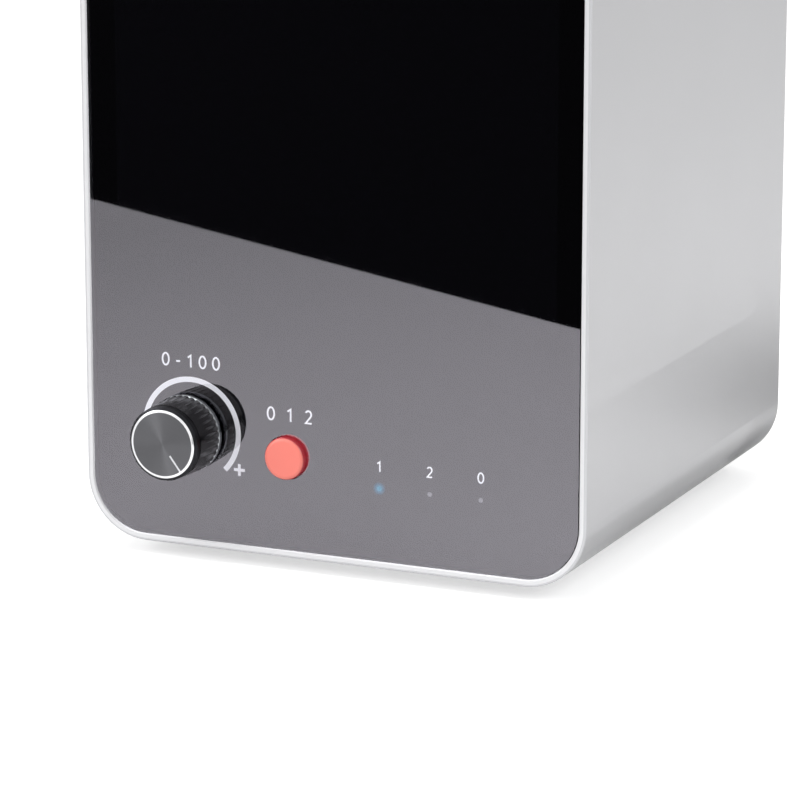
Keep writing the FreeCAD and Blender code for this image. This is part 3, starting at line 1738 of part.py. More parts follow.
fuse_z = drawer_z - named("drawer_height") / 2 + named("drawer_gap") + fuse_floor \
    + named("fuse_radius")
fuse_x = inlet_x - named("fuse_length") / 2
keep(fuse_drawer())
fuse_cap = named("fuse_cap_length")
glass_length = named("fuse_length") - 2 * fuse_cap
tube = keep(cylinder("X", fuse_x + fuse_cap, fuse_y, fuse_z,
                     named("fuse_radius") - named("fuse_cap_wall"), glass_length))
tube.Label = "fuse_tube"
keep(group([cylinder("X", fuse_x, fuse_y, fuse_z, named("fuse_radius"), fuse_cap),
            cylinder("X", fuse_x + named("fuse_length") - fuse_cap, fuse_y, fuse_z,
                     named("fuse_radius"), fuse_cap)], "fuse_caps"))


def power_rocker():
    """The switch's rocker: a dished paddle whose ends are round about the pivot."""
    gap = named("rocker_gap")
    height = named("rocker_window_height") - 2 * gap
    radius = named("rocker_window_width") / 2 - gap
    pivot = flange_face - named("rocker_pivot_depth")
    item = new_body("rocker_paddle", 0, 0, 0)
    side_view = new_sketch(item, "XY_Plane", -height / 2)
    depth = named("rocker_pivot_depth")
    wide = radius + named("rocker_spare")
    root = -named("rocker_root")
    tip = depth + named("rocker_tip_rise")
    outline(side_view, [(-wide, root), (wide, root), (wide, tip),
                        (0, depth + named("rocker_dip_rise")), (-wide, tip)])
    pad(item, side_view, height)
    drum = doc.addObject("Part::Cylinder", "drum")
    bind(drum, "Radius", radius)
    bind(drum, "Height", height)
    put(drum, 0, 0, -height / 2)
    paddle = doc.addObject("Part::Common", "paddle")
    paddle.Base = item
    paddle.Tool = drum
    paddle.Label = "power_rocker"
    paddle.Placement = Placement(Vector(), Rotation(Vector(0, 0, 1), 1))
    bind(paddle, "Placement.Rotation.Angle", named("rocker_tilt_degrees"))
    put(paddle, inlet_x, pivot, rocker_z)
    return paddle


keep(power_rocker())

doc.recompute()

faults = [item.Label + " " + " ".join(item.State) for item in doc.Objects
          if "Invalid" in item.State or "Error" in item.State]
for item in kept:
    shape = item.Shape
    if shape.isNull() or not shape.isValid() or not shape.Solids:
        faults.append(item.Label + " has no valid solid")
if faults:
    raise RuntimeError("; ".join(faults))
labels = [item.Label for item in kept]
if len(set(labels)) != len(labels):
    raise RuntimeError("two pieces share a label")

os.makedirs("parts", exist_ok=True)
for item in kept:
    item.Shape.exportStep("parts/" + item.Label + ".step")
print(len(kept), "nodes", sum(len(item.Shape.Solids) for item in kept), "solids")
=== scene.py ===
import math

import bmesh
import bpy
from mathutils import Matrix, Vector


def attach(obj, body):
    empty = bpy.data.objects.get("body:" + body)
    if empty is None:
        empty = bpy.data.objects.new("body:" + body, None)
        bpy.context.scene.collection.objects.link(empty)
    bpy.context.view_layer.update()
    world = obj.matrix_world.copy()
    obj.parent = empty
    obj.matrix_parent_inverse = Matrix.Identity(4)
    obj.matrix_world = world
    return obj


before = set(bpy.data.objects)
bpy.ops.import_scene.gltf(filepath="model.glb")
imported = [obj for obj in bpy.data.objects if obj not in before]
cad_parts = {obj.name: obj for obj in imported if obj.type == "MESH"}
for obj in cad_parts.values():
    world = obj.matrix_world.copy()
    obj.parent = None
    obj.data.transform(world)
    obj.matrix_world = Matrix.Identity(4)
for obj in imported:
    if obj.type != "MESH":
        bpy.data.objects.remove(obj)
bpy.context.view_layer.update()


# Camera: it stands in front of the plasma generator and a little to its right, above the
# panel, with a long lens. The housing runs out of the frame at the top, as it does in the
# photograph.

camera = bpy.data.objects.new("camera", bpy.data.cameras.new("camera"))
bpy.context.scene.collection.objects.link(camera)
camera.location = (0.48402, -1.11683, 0.33035)
camera.rotation_euler = (math.radians(76.34), 0.0, math.radians(24.08))
camera.data.lens = 182.4
camera.data.sensor_width = 36.0
bpy.context.scene.camera = camera
bpy.context.scene.view_settings.view_transform = "Standard"


# Studio: a white table top that keeps the housing's soft shadow, cards on the table for the
# glossy surfaces to mirror, a pale dome, and soft boxes above, behind, on both sides, and in
# front on the left.

def linear(hex_colour):
    """An sRGB colour such as #cbcbcd as the linear RGBA that a shader takes."""
    channels = [int(hex_colour[place:place + 2], 16) / 255 for place in (1, 3, 5)]
    return tuple(value / 12.92 if value <= 0.04045 else ((value + 0.055) / 1.055) ** 2.4
                 for value in channels) + (1.0,)


def add(tree, kind, inputs=None, **options):
    """A new shader node with its options set and its inputs filled or joined."""
    node = tree.nodes.new("ShaderNode" + kind)
    for name, value in options.items():
        setattr(node, name, value)
    for name, value in (inputs or {}).items():
        if isinstance(value, bpy.types.NodeSocket):
            tree.links.new(value, node.inputs[name])
        else:
            node.inputs[name].default_value = value
    return node


def sheet_of(name, corners):
    """A flat sheet through the corners, which are given in metres."""
    mesh = bpy.data.meshes.new(name)
    mesh.from_pydata(corners, [], [tuple(range(len(corners)))])
    made = bpy.data.objects.new(name, mesh)
    bpy.context.scene.collection.objects.link(made)
    return made


def emptied(holder):
    """The shader tree of a new material or world, without the nodes that it came with."""
    holder.use_nodes = True
    holder.node_tree.nodes.clear()
    return holder.node_tree


def seen_directly(tree):
    """A value of 1 for what the camera sees, also in a mirror image or through glass."""
    rays = add(tree, "LightPath")
    seen = add(tree, "Math", {0: rays.outputs["Is Camera Ray"],
                              1: rays.outputs["Is Glossy Ray"]}, operation="MAXIMUM")
    seen = add(tree, "Math", {0: seen.outputs[0], 1: rays.outputs["Is Transmission Ray"]},
               operation="MAXIMUM")
    return seen.outputs[0]


table_reach = 4.0
table_glow = 0.5

# The table is matt white paper. It glows only where it is seen, so that it comes out white
# and still shows the housing's shadow.
table_top = sheet_of("table_top", [(-table_reach, -table_reach, 0.0),
                                   (table_reach, -table_reach, 0.0),
                                   (table_reach, table_reach, 0.0),
                                   (-table_reach, table_reach, 0.0)])
table_white = bpy.data.materials.new("table_white")
tree = emptied(table_white)
strength = add(tree, "Math", {0: seen_directly(tree), 1: table_glow}, operation="MULTIPLY")
paper = add(tree, "BsdfDiffuse", {"Color": linear("#e2e2e2")})
glow = add(tree, "Emission", {"Color": linear("#ffffff"), "Strength": strength.outputs[0]})
lit = add(tree, "AddShader", {0: paper.outputs[0], 1: glow.outputs[0]})
add(tree, "OutputMaterial", {"Surface": lit.outputs[0]})
table_top.data.materials.append(table_white)

card_height = 0.0002
card_side = 2.5
card_far = -3.9
card_slope, card_middle = 0.5341, -0.3896
card_edge = [(x, card_slope * x + card_middle, card_height) for x in (-card_side, card_side)]


def lay_card(card):
    """Hide a card that lies on the table from all but glossy rays, so that only glossy
    surfaces see it.
    """
    card.visible_camera = False
    card.visible_diffuse = False
    card.visible_shadow = False
    card.visible_transmission = False


# The dark card lies on the table well in front of the housing, with its near edge askew. It
# is what turns the upper part of the panel black.
card_ends = [(card_side, card_far, card_height), (-card_side, card_far, card_height)]
dark_card = sheet_of("dark_card", card_edge + card_ends)
card_black = bpy.data.materials.new("card_black")
tree = emptied(card_black)
felt = add(tree, "BsdfDiffuse", {"Color": linear("#141416")})
add(tree, "OutputMaterial", {"Surface": felt.outputs[0]})
dark_card.data.materials.append(card_black)
lay_card(dark_card)


def tint(tree, grey, density):
    """Make the surface a film that is clear where the density is 0 and grey where it is 1."""
    clear = add(tree, "BsdfTransparent")
    dyed = add(tree, "BsdfDiffuse", {"Color": linear(grey)})
    film = add(tree, "MixShader", {0: density, 1: clear.outputs[0], 2: dyed.outputs[0]})
    add(tree, "OutputMaterial", {"Surface": film.outputs[0]})


film_end = -0.086
film_direction = (2.0, 1.0, 0.0)
film_clear_at, film_grey_at = -0.05, -1.10
film_density = 0.40

# A film between the card and the housing is painted shade for light that falls off across
# the table. It is clear on the right and greyer to the left, so that the panel's lower part
# gets darker to the left and upwards. Its grey is graded along one direction across the table.
film_ends = [(card_side, film_end, card_height), (-card_side, film_end, card_height)]
grey_film = sheet_of("grey_film", card_edge + film_ends)
graduated = bpy.data.materials.new("graduated_film")
tree = emptied(graduated)
place = add(tree, "TexCoord")
across = add(tree, "VectorMath", {0: place.outputs["Object"], 1: film_direction},
             operation="DOT_PRODUCT")
density = add(tree, "MapRange", {"Value": across.outputs["Value"],
                                 "From Min": film_clear_at, "From Max": film_grey_at,
                                 "To Min": 0.0, "To Max": film_density})
tint(tree, "#141416", density.outputs[0])
grey_film.data.materials.append(graduated)
lay_card(grey_film)


def shade_card(name, x, y, reach_x, reach_y, density):
    """An oval dark card with a soft edge, a painted shadow on the table that only glossy
    surfaces see.
    """
    corners = 48
    full_share = 0.2
    turns = [2 * math.pi * corner / corners for corner in range(corners)]
    card = sheet_of(name, [(x + reach_x * math.cos(turn), y + reach_y * math.sin(turn),
                            card_height) for turn in turns])
    shade = bpy.data.materials.new(name)
    tree = emptied(shade)
    place = add(tree, "TexCoord")
    out = add(tree, "VectorMath", {0: place.outputs["Object"], 1: (x, y, card_height)},
              operation="SUBTRACT")
    out = add(tree, "VectorMath", {0: out.outputs[0], 1: (1 / reach_x, 1 / reach_y, 0.0)},
              operation="MULTIPLY")
    out = add(tree, "VectorMath", {0: out.outputs[0]}, operation="LENGTH")
    fading = add(tree, "MapRange", {"Value": out.outputs["Value"], "From Min": full_share,
                                    "From Max": 1.0, "To Min": density, "To Max": 0.0},
                 interpolation_type="SMOOTHSTEP")
    tint(tree, "#3c3c3e", fading.outputs[0])
    card.data.materials.append(shade)
    lay_card(card)


# Two dark cards are a painted shadow of the housing on the table, seen only in mirror images:
# one shades the rounded edge along the housing's right side, and the other the far end of
# that side.
shade_card("edge_shade", 0.082, 0.03, 0.025, 0.17, 0.75)
shade_card("far_shade", 0.122, 0.22, 0.08, 0.14, 0.6)

dome_fill = 0.55

# The dome is white where it is seen, and lights the part at about half of that.
dome = bpy.data.worlds.new("dome")
bpy.context.scene.world = dome
tree = emptied(dome)
strength = add(tree, "MapRange", {"Value": seen_directly(tree), "To Min": dome_fill,
                                  "To Max": 1.0})
sky = add(tree, "Background", {"Color": linear("#ffffff"), "Strength": strength.outputs[0]})
add(tree, "OutputWorld", {"Surface": sky.outputs[0]})


def soft_box(name, place, aim, width, power):
    """A square soft box that points from its place to a spot on the part or beside it."""
    lamp = bpy.data.lights.new(name, "AREA")
    lamp.size = width
    lamp.energy = power
    made = bpy.data.objects.new(name, lamp)
    bpy.context.scene.collection.objects.link(made)
    made.location = place
    direction = Vector(aim) - Vector(place)
    made.rotation_euler = direction.to_track_quat("-Z", "Y").to_euler()


part_middle = (0.0, 0.0, 0.1)
right_foot = (0.15, 0.0, 0.0)
soft_box("box_above", (-0.2, -0.2, 1.5), part_middle, 1.0, 9.0)
soft_box("box_front", (-1.2, -1.1, 0.8), part_middle, 0.7, 11.0)
soft_box("box_left", (-1.4, -0.3, 0.9), part_middle, 0.9, 4.0)
soft_box("box_right", (0.5, -0.1, 0.4), right_foot, 0.3, 1.2)
soft_box("box_behind", (-0.2, 1.6, 1.0), part_middle, 1.0, 4.0)


# Housing: one length of extruded aluminium tube with 19 mm corners, fine blasted and clear
# anodised. The two cut ends are milled and diamond cut after anodising, and are painted
# brighter, partly for the bare cut metal and partly as a painted highlight.

def surface(name, values):
    """A new material and its Principled shader, which holds these values."""
    made = bpy.data.materials.new(name)
    made.use_nodes = True
    shader = made.node_tree.nodes["Principled BSDF"]
    for socket, value in values.items():
        shader.inputs[socket].default_value = value
    return made, shader


def dress(material, *names):
    """Give these nodes the material."""
    for name in names:
        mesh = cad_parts[name].data
        mesh.materials.clear()
        mesh.materials.append(material)


def corner_of(name, pick):
    """The lowest or highest corner of the box round a node's mesh, by min or max."""
    spots = [vertex.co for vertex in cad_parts[name].data.vertices]
    return Vector([pick(spot[axis] for spot in spots) for axis in range(3)])


def middle_of(name):
    """The middle of the box round a node's mesh."""
    return (corner_of(name, min) + corner_of(name, max)) / 2


MM = 0.001
housing_low = corner_of("housing_shell", min)
housing_high = corner_of("housing_shell", max)
housing_middle = middle_of("housing_shell")
housing_corner = 19.0 * MM
housing_core = housing_high - housing_middle - Vector((housing_corner, 0.0, housing_corner))
milled_edge = 0.45 * MM
edge_shade_band = 0.75 * MM
blast_grain, blast_cloud = 0.35 * MM, 40 * MM

# Blasted and anodised aluminium gives a pale grey metal with a very fine even grain and no
# mirror image. The cut ends are painted paler, partly for the bare cut metal and partly as a
# painted highlight. A band along their outer edge is painted greyer, as painted shade for
# the broken edge. To find that band, the nodes measure how far a spot lies inside the
# tube's rounded outline.
anodised, shader = surface("anodised_blasted_aluminium", {})
tree = anodised.node_tree
place = add(tree, "TexCoord")
apart = add(tree, "SeparateXYZ", {0: place.outputs["Object"]})
front_end = add(tree, "Math", {0: apart.outputs["Y"], 1: housing_low.y + milled_edge},
                operation="LESS_THAN")
rear_end = add(tree, "Math", {0: apart.outputs["Y"], 1: housing_high.y - milled_edge},
               operation="GREATER_THAN")
milled = add(tree, "Math", {0: front_end.outputs[0], 1: rear_end.outputs[0]},
             operation="MAXIMUM")
from_middle = add(tree, "VectorMath", {0: place.outputs["Object"], 1: housing_middle},
                  operation="SUBTRACT")
from_middle = add(tree, "VectorMath", {0: from_middle.outputs[0]}, operation="ABSOLUTE")
past_corner = add(tree, "VectorMath", {0: from_middle.outputs[0], 1: housing_core},
                  operation="SUBTRACT")
past_corner = add(tree, "VectorMath", {0: past_corner.outputs[0], 1: (0.0, 0.0, 0.0)},
                  operation="MAXIMUM")
past_corner = add(tree, "VectorMath", {0: past_corner.outputs[0]}, operation="LENGTH")
inner = add(tree, "Math", {0: past_corner.outputs["Value"], 1: housing_corner - edge_shade_band},
            operation="LESS_THAN")
grain = add(tree, "TexNoise", {"Vector": place.outputs["Object"], "Scale": 1 / blast_grain,
                               "Detail": 2.0})
cloud = add(tree, "TexNoise", {"Vector": place.outputs["Object"], "Scale": 1 / blast_cloud,
                               "Detail": 3.0})
blasted_colour = add(tree, "Mix", {0: cloud.outputs["Fac"], 6: linear("#b0b0b2"),
                                   7: linear("#b4b4b6")}, data_type="RGBA")
# Painted highlight on the cut ends, with painted shade along their broken outer edge.
cut_highlight_and_edge_shade = add(tree, "Mix", {0: inner.outputs[0], 6: linear("#ceced1"),
                               7: linear("#e4e4e6")}, data_type="RGBA")
colour = add(tree, "Mix", {0: milled.outputs[0], 6: blasted_colour.outputs[2],
                           7: cut_highlight_and_edge_shade.outputs[2]}, data_type="RGBA")
blasted_roughness = add(tree, "MapRange", {"Value": grain.outputs["Fac"], "To Min": 0.30,
                                           "To Max": 0.38})
roughness = add(tree, "Mix", {0: milled.outputs[0], 2: blasted_roughness.outputs[0],
                              3: 0.5})
metal = add(tree, "MapRange", {"Value": milled.outputs[0], "To Min": 1.0, "To Max": 0.4})
relief = add(tree, "Bump", {"Strength": 0.12, "Distance": 0.03 * MM,
                            "Height": grain.outputs["Fac"]})
tree.links.new(colour.outputs[2], shader.inputs["Base Color"])
tree.links.new(roughness.outputs[0], shader.inputs["Roughness"])
tree.links.new(metal.outputs[0], shader.inputs["Metallic"])
tree.links.new(relief.outputs[0], shader.inputs["Normal"])
dress(anodised, "housing_shell")


# Front panel: a 2 mm sheet of clear cast acrylic, flush with the housing's rim. Its polished
# face is hard coated and mirrors the table, its back is printed black, and the print is left
# open where the light pipes end. Foam tape behind it sticks it to the plate.

panel_face = corner_of("front_panel", min).y
panel_back = corner_of("front_panel", max).y
face_margin = 0.05 * MM
pipes_middle = middle_of("light_pipes")
lamp_step = 16.0 * MM
lamp_x = [pipes_middle.x + step * lamp_step for step in (-1, 0, 1)]
lamp_z = pipes_middle.z
lamp_window = 0.75 * MM
halo_reach, halo_glow = 2.1 * MM, 0.6

# The coated face gives a sharp grey image of the table. The black print lies behind it, and
# the clear edge lets the housing's wall show. Round the lit lamp a faint blue glow is painted
# on the print, as painted light spilling from the lamp.
clear_acrylic = bpy.data.materials.new("hard_coated_clear_acrylic")
tree = emptied(clear_acrylic)
place = add(tree, "TexCoord")
apart = add(tree, "SeparateXYZ", {0: place.outputs["Object"]})
on_face = add(tree, "Math", {0: apart.outputs["Y"], 1: panel_face + face_margin},
              operation="LESS_THAN")
printed = add(tree, "Math", {0: apart.outputs["Y"], 1: panel_back - face_margin},
              operation="GREATER_THAN")
for x in lamp_x:
    across = add(tree, "VectorMath", {0: place.outputs["Object"],
                                      1: (x, panel_back, lamp_z)}, operation="DISTANCE")
    outside = add(tree, "Math", {0: across.outputs["Value"], 1: lamp_window},
                  operation="GREATER_THAN")
    printed = add(tree, "Math", {0: printed.outputs[0], 1: outside.outputs[0]},
                  operation="MULTIPLY")
mirror = add(tree, "BsdfGlossy", {"Color": linear("#747277"), "Roughness": 0.015})
clear = add(tree, "BsdfTransparent", {"Color": linear("#fdfdff")})
coated = add(tree, "AddShader", {0: clear.outputs[0], 1: mirror.outputs[0]})
edge_or_face = add(tree, "MixShader", {0: on_face.outputs[0], 1: clear.outputs[0],
                                       2: coated.outputs[0]})
across = add(tree, "VectorMath", {0: place.outputs["Object"],
                                  1: (lamp_x[0], panel_back, lamp_z)}, operation="DISTANCE")
# Painted glow on the print round the lit lamp.
halo = add(tree, "MapRange", {"Value": across.outputs["Value"], "From Min": halo_reach,
                              "From Max": lamp_window, "To Max": halo_glow})
black_print = add(tree, "BsdfPrincipled", {
    "Base Color": linear("#020203"), "Roughness": 0.8, "Specular IOR Level": 0.0,
    "Emission Color": linear("#00769c"), "Emission Strength": halo.outputs[0]})
whole = add(tree, "MixShader", {0: printed.outputs[0], 1: edge_or_face.outputs[0],
                                2: black_print.outputs[0]})
add(tree, "OutputMaterial", {"Surface": whole.outputs[0]})
dress(clear_acrylic, "front_panel")

foam_cell = 0.4 * MM

# Black acrylic foam is full of small cells and takes nearly all light away.
foam, shader = surface("acrylic_foam_tape", {"Base Color": linear("#020203"),
                                             "Roughness": 0.9,
                                             "Specular IOR Level": 0.0})
tree = foam.node_tree
place = add(tree, "TexCoord")
cells = add(tree, "TexVoronoi", {"Vector": place.outputs["Object"], "Scale": 1 / foam_cell})
relief = add(tree, "Bump", {"Strength": 0.4, "Distance": 0.1 * MM,
                            "Height": cells.outputs["Distance"]})
tree.links.new(relief.outputs[0], shader.inputs["Normal"])
dress(foam, "panel_tape")


# Panel print: a white arc round the knob, a plus sign at its end, and plain numbers over the
# knob, the button and the indicators. It is screen printed on the back of the acrylic, under
# the black, so each line is a thin layer of matt ink seen through the sheet.

ink_layer = 0.04 * MM
screen_mesh = 0.25 * MM
knob_middle = middle_of("knob_body")
knob_x, knob_z = knob_middle.x, knob_middle.z
button_middle = middle_of("mode_button")
ring_radius, ring_width = 15.4 * MM, 1.6 * MM
ring_start, ring_end = -45, 225
plus_right, plus_down = 15.6 * MM, 10.5 * MM
plus_arm, plus_width = 1.8 * MM, 0.9 * MM
power_rise, power_height, power_gap = 18.9 * MM, 4.0 * MM, 0.48
mode_rise, mode_height, mode_gap = 10.2 * MM, 4.1 * MM, 0.93
mode_right = 0.05 * MM
lamp_rise, lamp_height = 5.0 * MM, 3.25 * MM
wide_stroke, fine_stroke = 0.55 * MM, 0.45 * MM

# Screen ink dries matt and a little uneven, as it went through the mesh.
white_ink, shader = surface("screen_printed_white_ink", {"Roughness": 0.55})
tree = white_ink.node_tree
place = add(tree, "TexCoord")
mesh_mark = add(tree, "TexNoise", {"Vector": place.outputs["Object"],
                                   "Scale": 1 / screen_mesh, "Detail": 2.0})
tone = add(tree, "Mix", {0: mesh_mark.outputs["Fac"], 6: linear("#dadbdf"),
                         7: linear("#e3e4e8")}, data_type="RGBA")
tree.links.new(tone.outputs[2], shader.inputs["Base Color"])


def finished(name, shape):
    """The drawn shape as an object in the scene, with its faces turned outwards."""
    bmesh.ops.recalc_face_normals(shape, faces=shape.faces)
    mesh = bpy.data.meshes.new(name)
    shape.to_mesh(mesh)
    shape.free()
    made = bpy.data.objects.new(name, mesh)
    bpy.context.scene.collection.objects.link(made)
    return made


def ribbons(name, paths, width, face):
    """Flat ribbons of ink along paths in the XZ plane, as one mesh that stands on the face."""
    sharpest_mitre = 0.5
    shape = bmesh.new()
    for path in paths:
        closed = path[0] == path[-1]
        points = [Vector(point) for point in (path[:-1] if closed else path)]
        count = len(points)
        rims = ([], [])
        for index, point in enumerate(points):
            before = points[index - 1] if closed or index else None
            after = points[(index + 1) % count] if closed or index < count - 1 else None
            incoming = (point - before).normalized() if before else None
            outgoing = (after - point).normalized() if after else None
            incoming = incoming or outgoing
            outgoing = outgoing or incoming
            middle = (incoming + outgoing).normalized()
            reach = width / 2 / max(middle.dot(incoming), sharpest_mitre)
            side = Vector((-middle.y, middle.x)) * reach
            rims[0].append(point + side)
            rims[1].append(point - side)
        rows = []
        for left, right in zip(*rims):
            rows.append([shape.verts.new((spot.x, face - depth, spot.y))
                         for depth in (0.0, ink_layer) for spot in (left, right)])
        pairs = list(zip(rows, rows[1:]))
        if closed:
            pairs.append((rows[-1], rows[0]))
        else:
            for row in (rows[0], rows[-1]):
                shape.faces.new([row[0], row[1], row[3], row[2]])
        for near, far in pairs:
            for a, b in ((2, 3), (3, 1), (1, 0), (0, 2)):
                shape.faces.new([near[a], near[b], far[b], far[a]])
    return finished(name, shape)


def arc(x, z, radius_x, radius_z, start, end, steps):
    """Points along an arc, with its angles in degrees from +X towards +Z."""
    turns = [math.radians(start + (end - start) * step / steps) for step in range(steps + 1)]
    return [(x + radius_x * math.cos(turn), z + radius_z * math.sin(turn)) for turn in turns]


# Each sign is one stroke and its width, drawn for a height of 1.
zero_ring = arc(0.31, 0.5, 0.26, 0.45, 0, 360, 40)
zero_ring[-1] = zero_ring[0]
two_bowl = arc(0.29, 0.70, 0.22, 0.25, 155, -25, 20)
SIGNS = {
    "0": (zero_ring, 0.62),
    "1": ([(0.08, 0.76), (0.32, 0.93), (0.32, 0.03)], 0.50),
    "2": (two_bowl + [(0.42, 0.47), (0.07, 0.05), (0.54, 0.05)], 0.60),
    "-": ([(0.08, 0.42), (0.40, 0.42)], 0.48),
}


def number_paths(text, x, z, height, gap):
    """Paths of a number with its middle at x and its foot at z, and a gap in heights."""
    signs = [SIGNS[letter] for letter in text]
    total = sum(width for _, width in signs) + gap * (len(signs) - 1)
    left = x - total * height / 2
    paths = []
    for stroke, width in signs:
        paths.append([(left + a * height, z + b * height) for a, b in stroke])
        left += (width + gap) * height
    return paths


def plus_sign(name, x, z, arm, width, face):
    """A plus sign of ink as one mesh with twelve corners on each side."""
    half = width / 2
    corners = [(-arm, -half), (-half, -half), (-half, -arm), (half, -arm), (half, -half),
               (arm, -half), (arm, half), (half, half), (half, arm), (-half, arm),
               (-half, half), (-arm, half)]
    shape = bmesh.new()
    front = [shape.verts.new((x + a, face - ink_layer, z + b)) for a, b in corners]
    back = [shape.verts.new((x + a, face, z + b)) for a, b in corners]
    shape.faces.new(front)
    shape.faces.new(back[::-1])
    for index in range(len(corners)):
        following = (index + 1) % len(corners)
        shape.faces.new([front[following], front[index], back[index], back[following]])
    return finished(name, shape)


ring_path = arc(knob_x, knob_z, ring_radius, ring_radius, ring_start, ring_end, 96)
power_paths = number_paths("0-100", knob_x, knob_z + power_rise, power_height, power_gap)
mode_paths = number_paths("012", button_middle.x + mode_right, button_middle.z + mode_rise,
                          mode_height, mode_gap)
prints = [
    ribbons("print_ring", [ring_path], ring_width, panel_back),
    plus_sign("print_plus", knob_x + plus_right, knob_z - plus_down, plus_arm, plus_width,
              panel_back),
    ribbons("print_power_numbers", power_paths, wide_stroke, panel_back),
    ribbons("print_mode_numbers", mode_paths, wide_stroke, panel_back),
]
for number, x in zip("120", lamp_x):
    lamp_paths = number_paths(number, x, lamp_z + lamp_rise, lamp_height, 0.0)
    prints.append(ribbons("print_lamp_" + number, lamp_paths, fine_stroke, panel_back))
for piece in prints:
    piece.data.materials.append(white_ink)
    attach(piece, "housing")


# End plates: the front one is cut from bare aluminium sheet and hidden by the panel. The
# rear one is powder coated black, and zinc plated screws hold both in the housing's ports.

rolling_mark = 0.3 * MM

# Mill finish sheet is bright, with the rolls' fine streaks running up and down it.
sheet_metal, shader = surface("mill_finish_aluminium_sheet", {
    "Base Color": linear("#c2c4c6"), "Metallic": 1.0, "Anisotropic": 0.4})
tree = sheet_metal.node_tree
place = add(tree, "TexCoord")
stretched = add(tree, "Mapping", {"Vector": place.outputs["Object"],
                                  "Scale": (1.0, 1.0, 0.03)})
rolling = add(tree, "TexNoise", {"Vector": stretched.outputs[0],
                                 "Scale": 1 / rolling_mark, "Detail": 3.0})
roughness = add(tree, "MapRange", {"Value": rolling.outputs["Fac"], "To Min": 0.25,
                                   "To Max": 0.42})
tree.links.new(roughness.outputs[0], shader.inputs["Roughness"])
dress(sheet_metal, "front_plate", "supply_heatsink", "driver_heatsink")

powder_grain = 0.7 * MM

# Powder coat is satin, with a low orange peel.
powder_coat, shader = surface("black_powder_coat", {"Roughness": 0.5})
tree = powder_coat.node_tree
place = add(tree, "TexCoord")
orange_peel = add(tree, "TexNoise", {"Vector": place.outputs["Object"],
                                     "Scale": 1 / powder_grain, "Detail": 3.0})
relief = add(tree, "Bump", {"Strength": 0.35, "Distance": 0.08 * MM,
                            "Height": orange_peel.outputs["Fac"]})
tone = add(tree, "Mix", {0: orange_peel.outputs["Fac"], 6: linear("#1d1d1f"),
                         7: linear("#2a2a2c")}, data_type="RGBA")
tree.links.new(tone.outputs[2], shader.inputs["Base Color"])
tree.links.new(relief.outputs[0], shader.inputs["Normal"])
dress(powder_coat, "rear_panel")

passivation_cloud = 2.5 * MM

# Bright zinc shines, with a faint yellow cloud where it was passivated.
zinc, shader = surface("bright_zinc_plate", {"Metallic": 1.0, "Roughness": 0.26})
tree = zinc.node_tree
place = add(tree, "TexCoord")
passivation = add(tree, "TexNoise", {"Vector": place.outputs["Object"],
                                     "Scale": 1 / passivation_cloud, "Detail": 3.0})
tone = add(tree, "Mix", {0: passivation.outputs["Fac"], 6: linear("#b9b8b0"),
                         7: linear("#cdced0")}, data_type="RGBA")
tree.links.new(tone.outputs[2], shader.inputs["Base Color"])
dress(zinc, "front_plate_screws", "rear_panel_screws", "foot_screws", "board_screws",
      "inlet_screws", "fan_screws")


# Feet: four black rubber buttons, moulded with a slight draft. A screw through the middle of
# each goes up through the housing's floor into the tray.

rubber_skin = 0.5 * MM

# Moulded rubber has a dull, slightly uneven skin.
rubber, shader = surface("moulded_black_rubber", {"Base Color": linear("#1b1b1c"),
                                                  "Roughness": 0.75})
tree = rubber.node_tree
place = add(tree, "TexCoord")
skin = add(tree, "TexNoise", {"Vector": place.outputs["Object"], "Scale": 1 / rubber_skin,
                              "Detail": 4.0})
relief = add(tree, "Bump", {"Strength": 0.2, "Distance": 0.05 * MM,
                            "Height": skin.outputs["Fac"]})
tree.links.new(relief.outputs[0], shader.inputs["Normal"])
dress(rubber, "feet")


# Tray and shelf: cut from galvanised sheet. The tray is folded and lies on the housing's
# floor, and the shelf is flat and slides into the rails at its sides.

zinc_spangle = 6 * MM

# Hot dipped zinc is pale, and each spangle is darker and shinier towards its middle.
galvanised, shader = surface("galvanised_sheet", {"Metallic": 1.0})
tree = galvanised.node_tree
place = add(tree, "TexCoord")
spangle = add(tree, "TexVoronoi", {"Vector": place.outputs["Object"],
                                   "Scale": 1 / zinc_spangle})
tone = add(tree, "Mix", {0: spangle.outputs["Distance"], 6: linear("#a9adb0"),
                         7: linear("#c3c6c8")}, data_type="RGBA")
roughness = add(tree, "MapRange", {"Value": spangle.outputs["Distance"], "To Min": 0.32,
                                   "To Max": 0.5})
tree.links.new(tone.outputs[2], shader.inputs["Base Color"])
tree.links.new(roughness.outputs[0], shader.inputs["Roughness"])
dress(galvanised, "tray", "shelf")


# Power knob, body: moulded in black ABS with 36 shallow flutes, and pressed over a brass
# insert.

mould_spark = 0.3 * MM

# The mould was nearly polished, so the ABS is glossy with a trace of its spark marks.
knob_plastic, shader = surface("moulded_black_abs", {"Base Color": linear("#0c0c0e"),
                                                     "IOR": 1.54})
tree = knob_plastic.node_tree
place = add(tree, "TexCoord")
spark = add(tree, "TexNoise", {"Vector": place.outputs["Object"],
                               "Scale": 1 / mould_spark, "Detail": 3.0})
roughness = add(tree, "MapRange", {"Value": spark.outputs["Fac"], "To Min": 0.16,
                                   "To Max": 0.24})
relief = add(tree, "Bump", {"Strength": 0.05, "Distance": 0.04 * MM,
                            "Height": spark.outputs["Fac"]})
tree.links.new(roughness.outputs[0], shader.inputs["Roughness"])
tree.links.new(relief.outputs[0], shader.inputs["Normal"])
dress(knob_plastic, "knob_body")


# Power knob, cap: a disc of aluminium, face turned and anodised grey, with a bright rim that
# is diamond cut afterwards. The ring at the knob's foot is turned and anodised too, and a
# pointer is pad printed on the cap.

cap_face = corner_of("knob_cap", min).y
bright_rim, rim_half_width = 9.85 * MM, 0.35 * MM
turning_step = 0.3 * MM
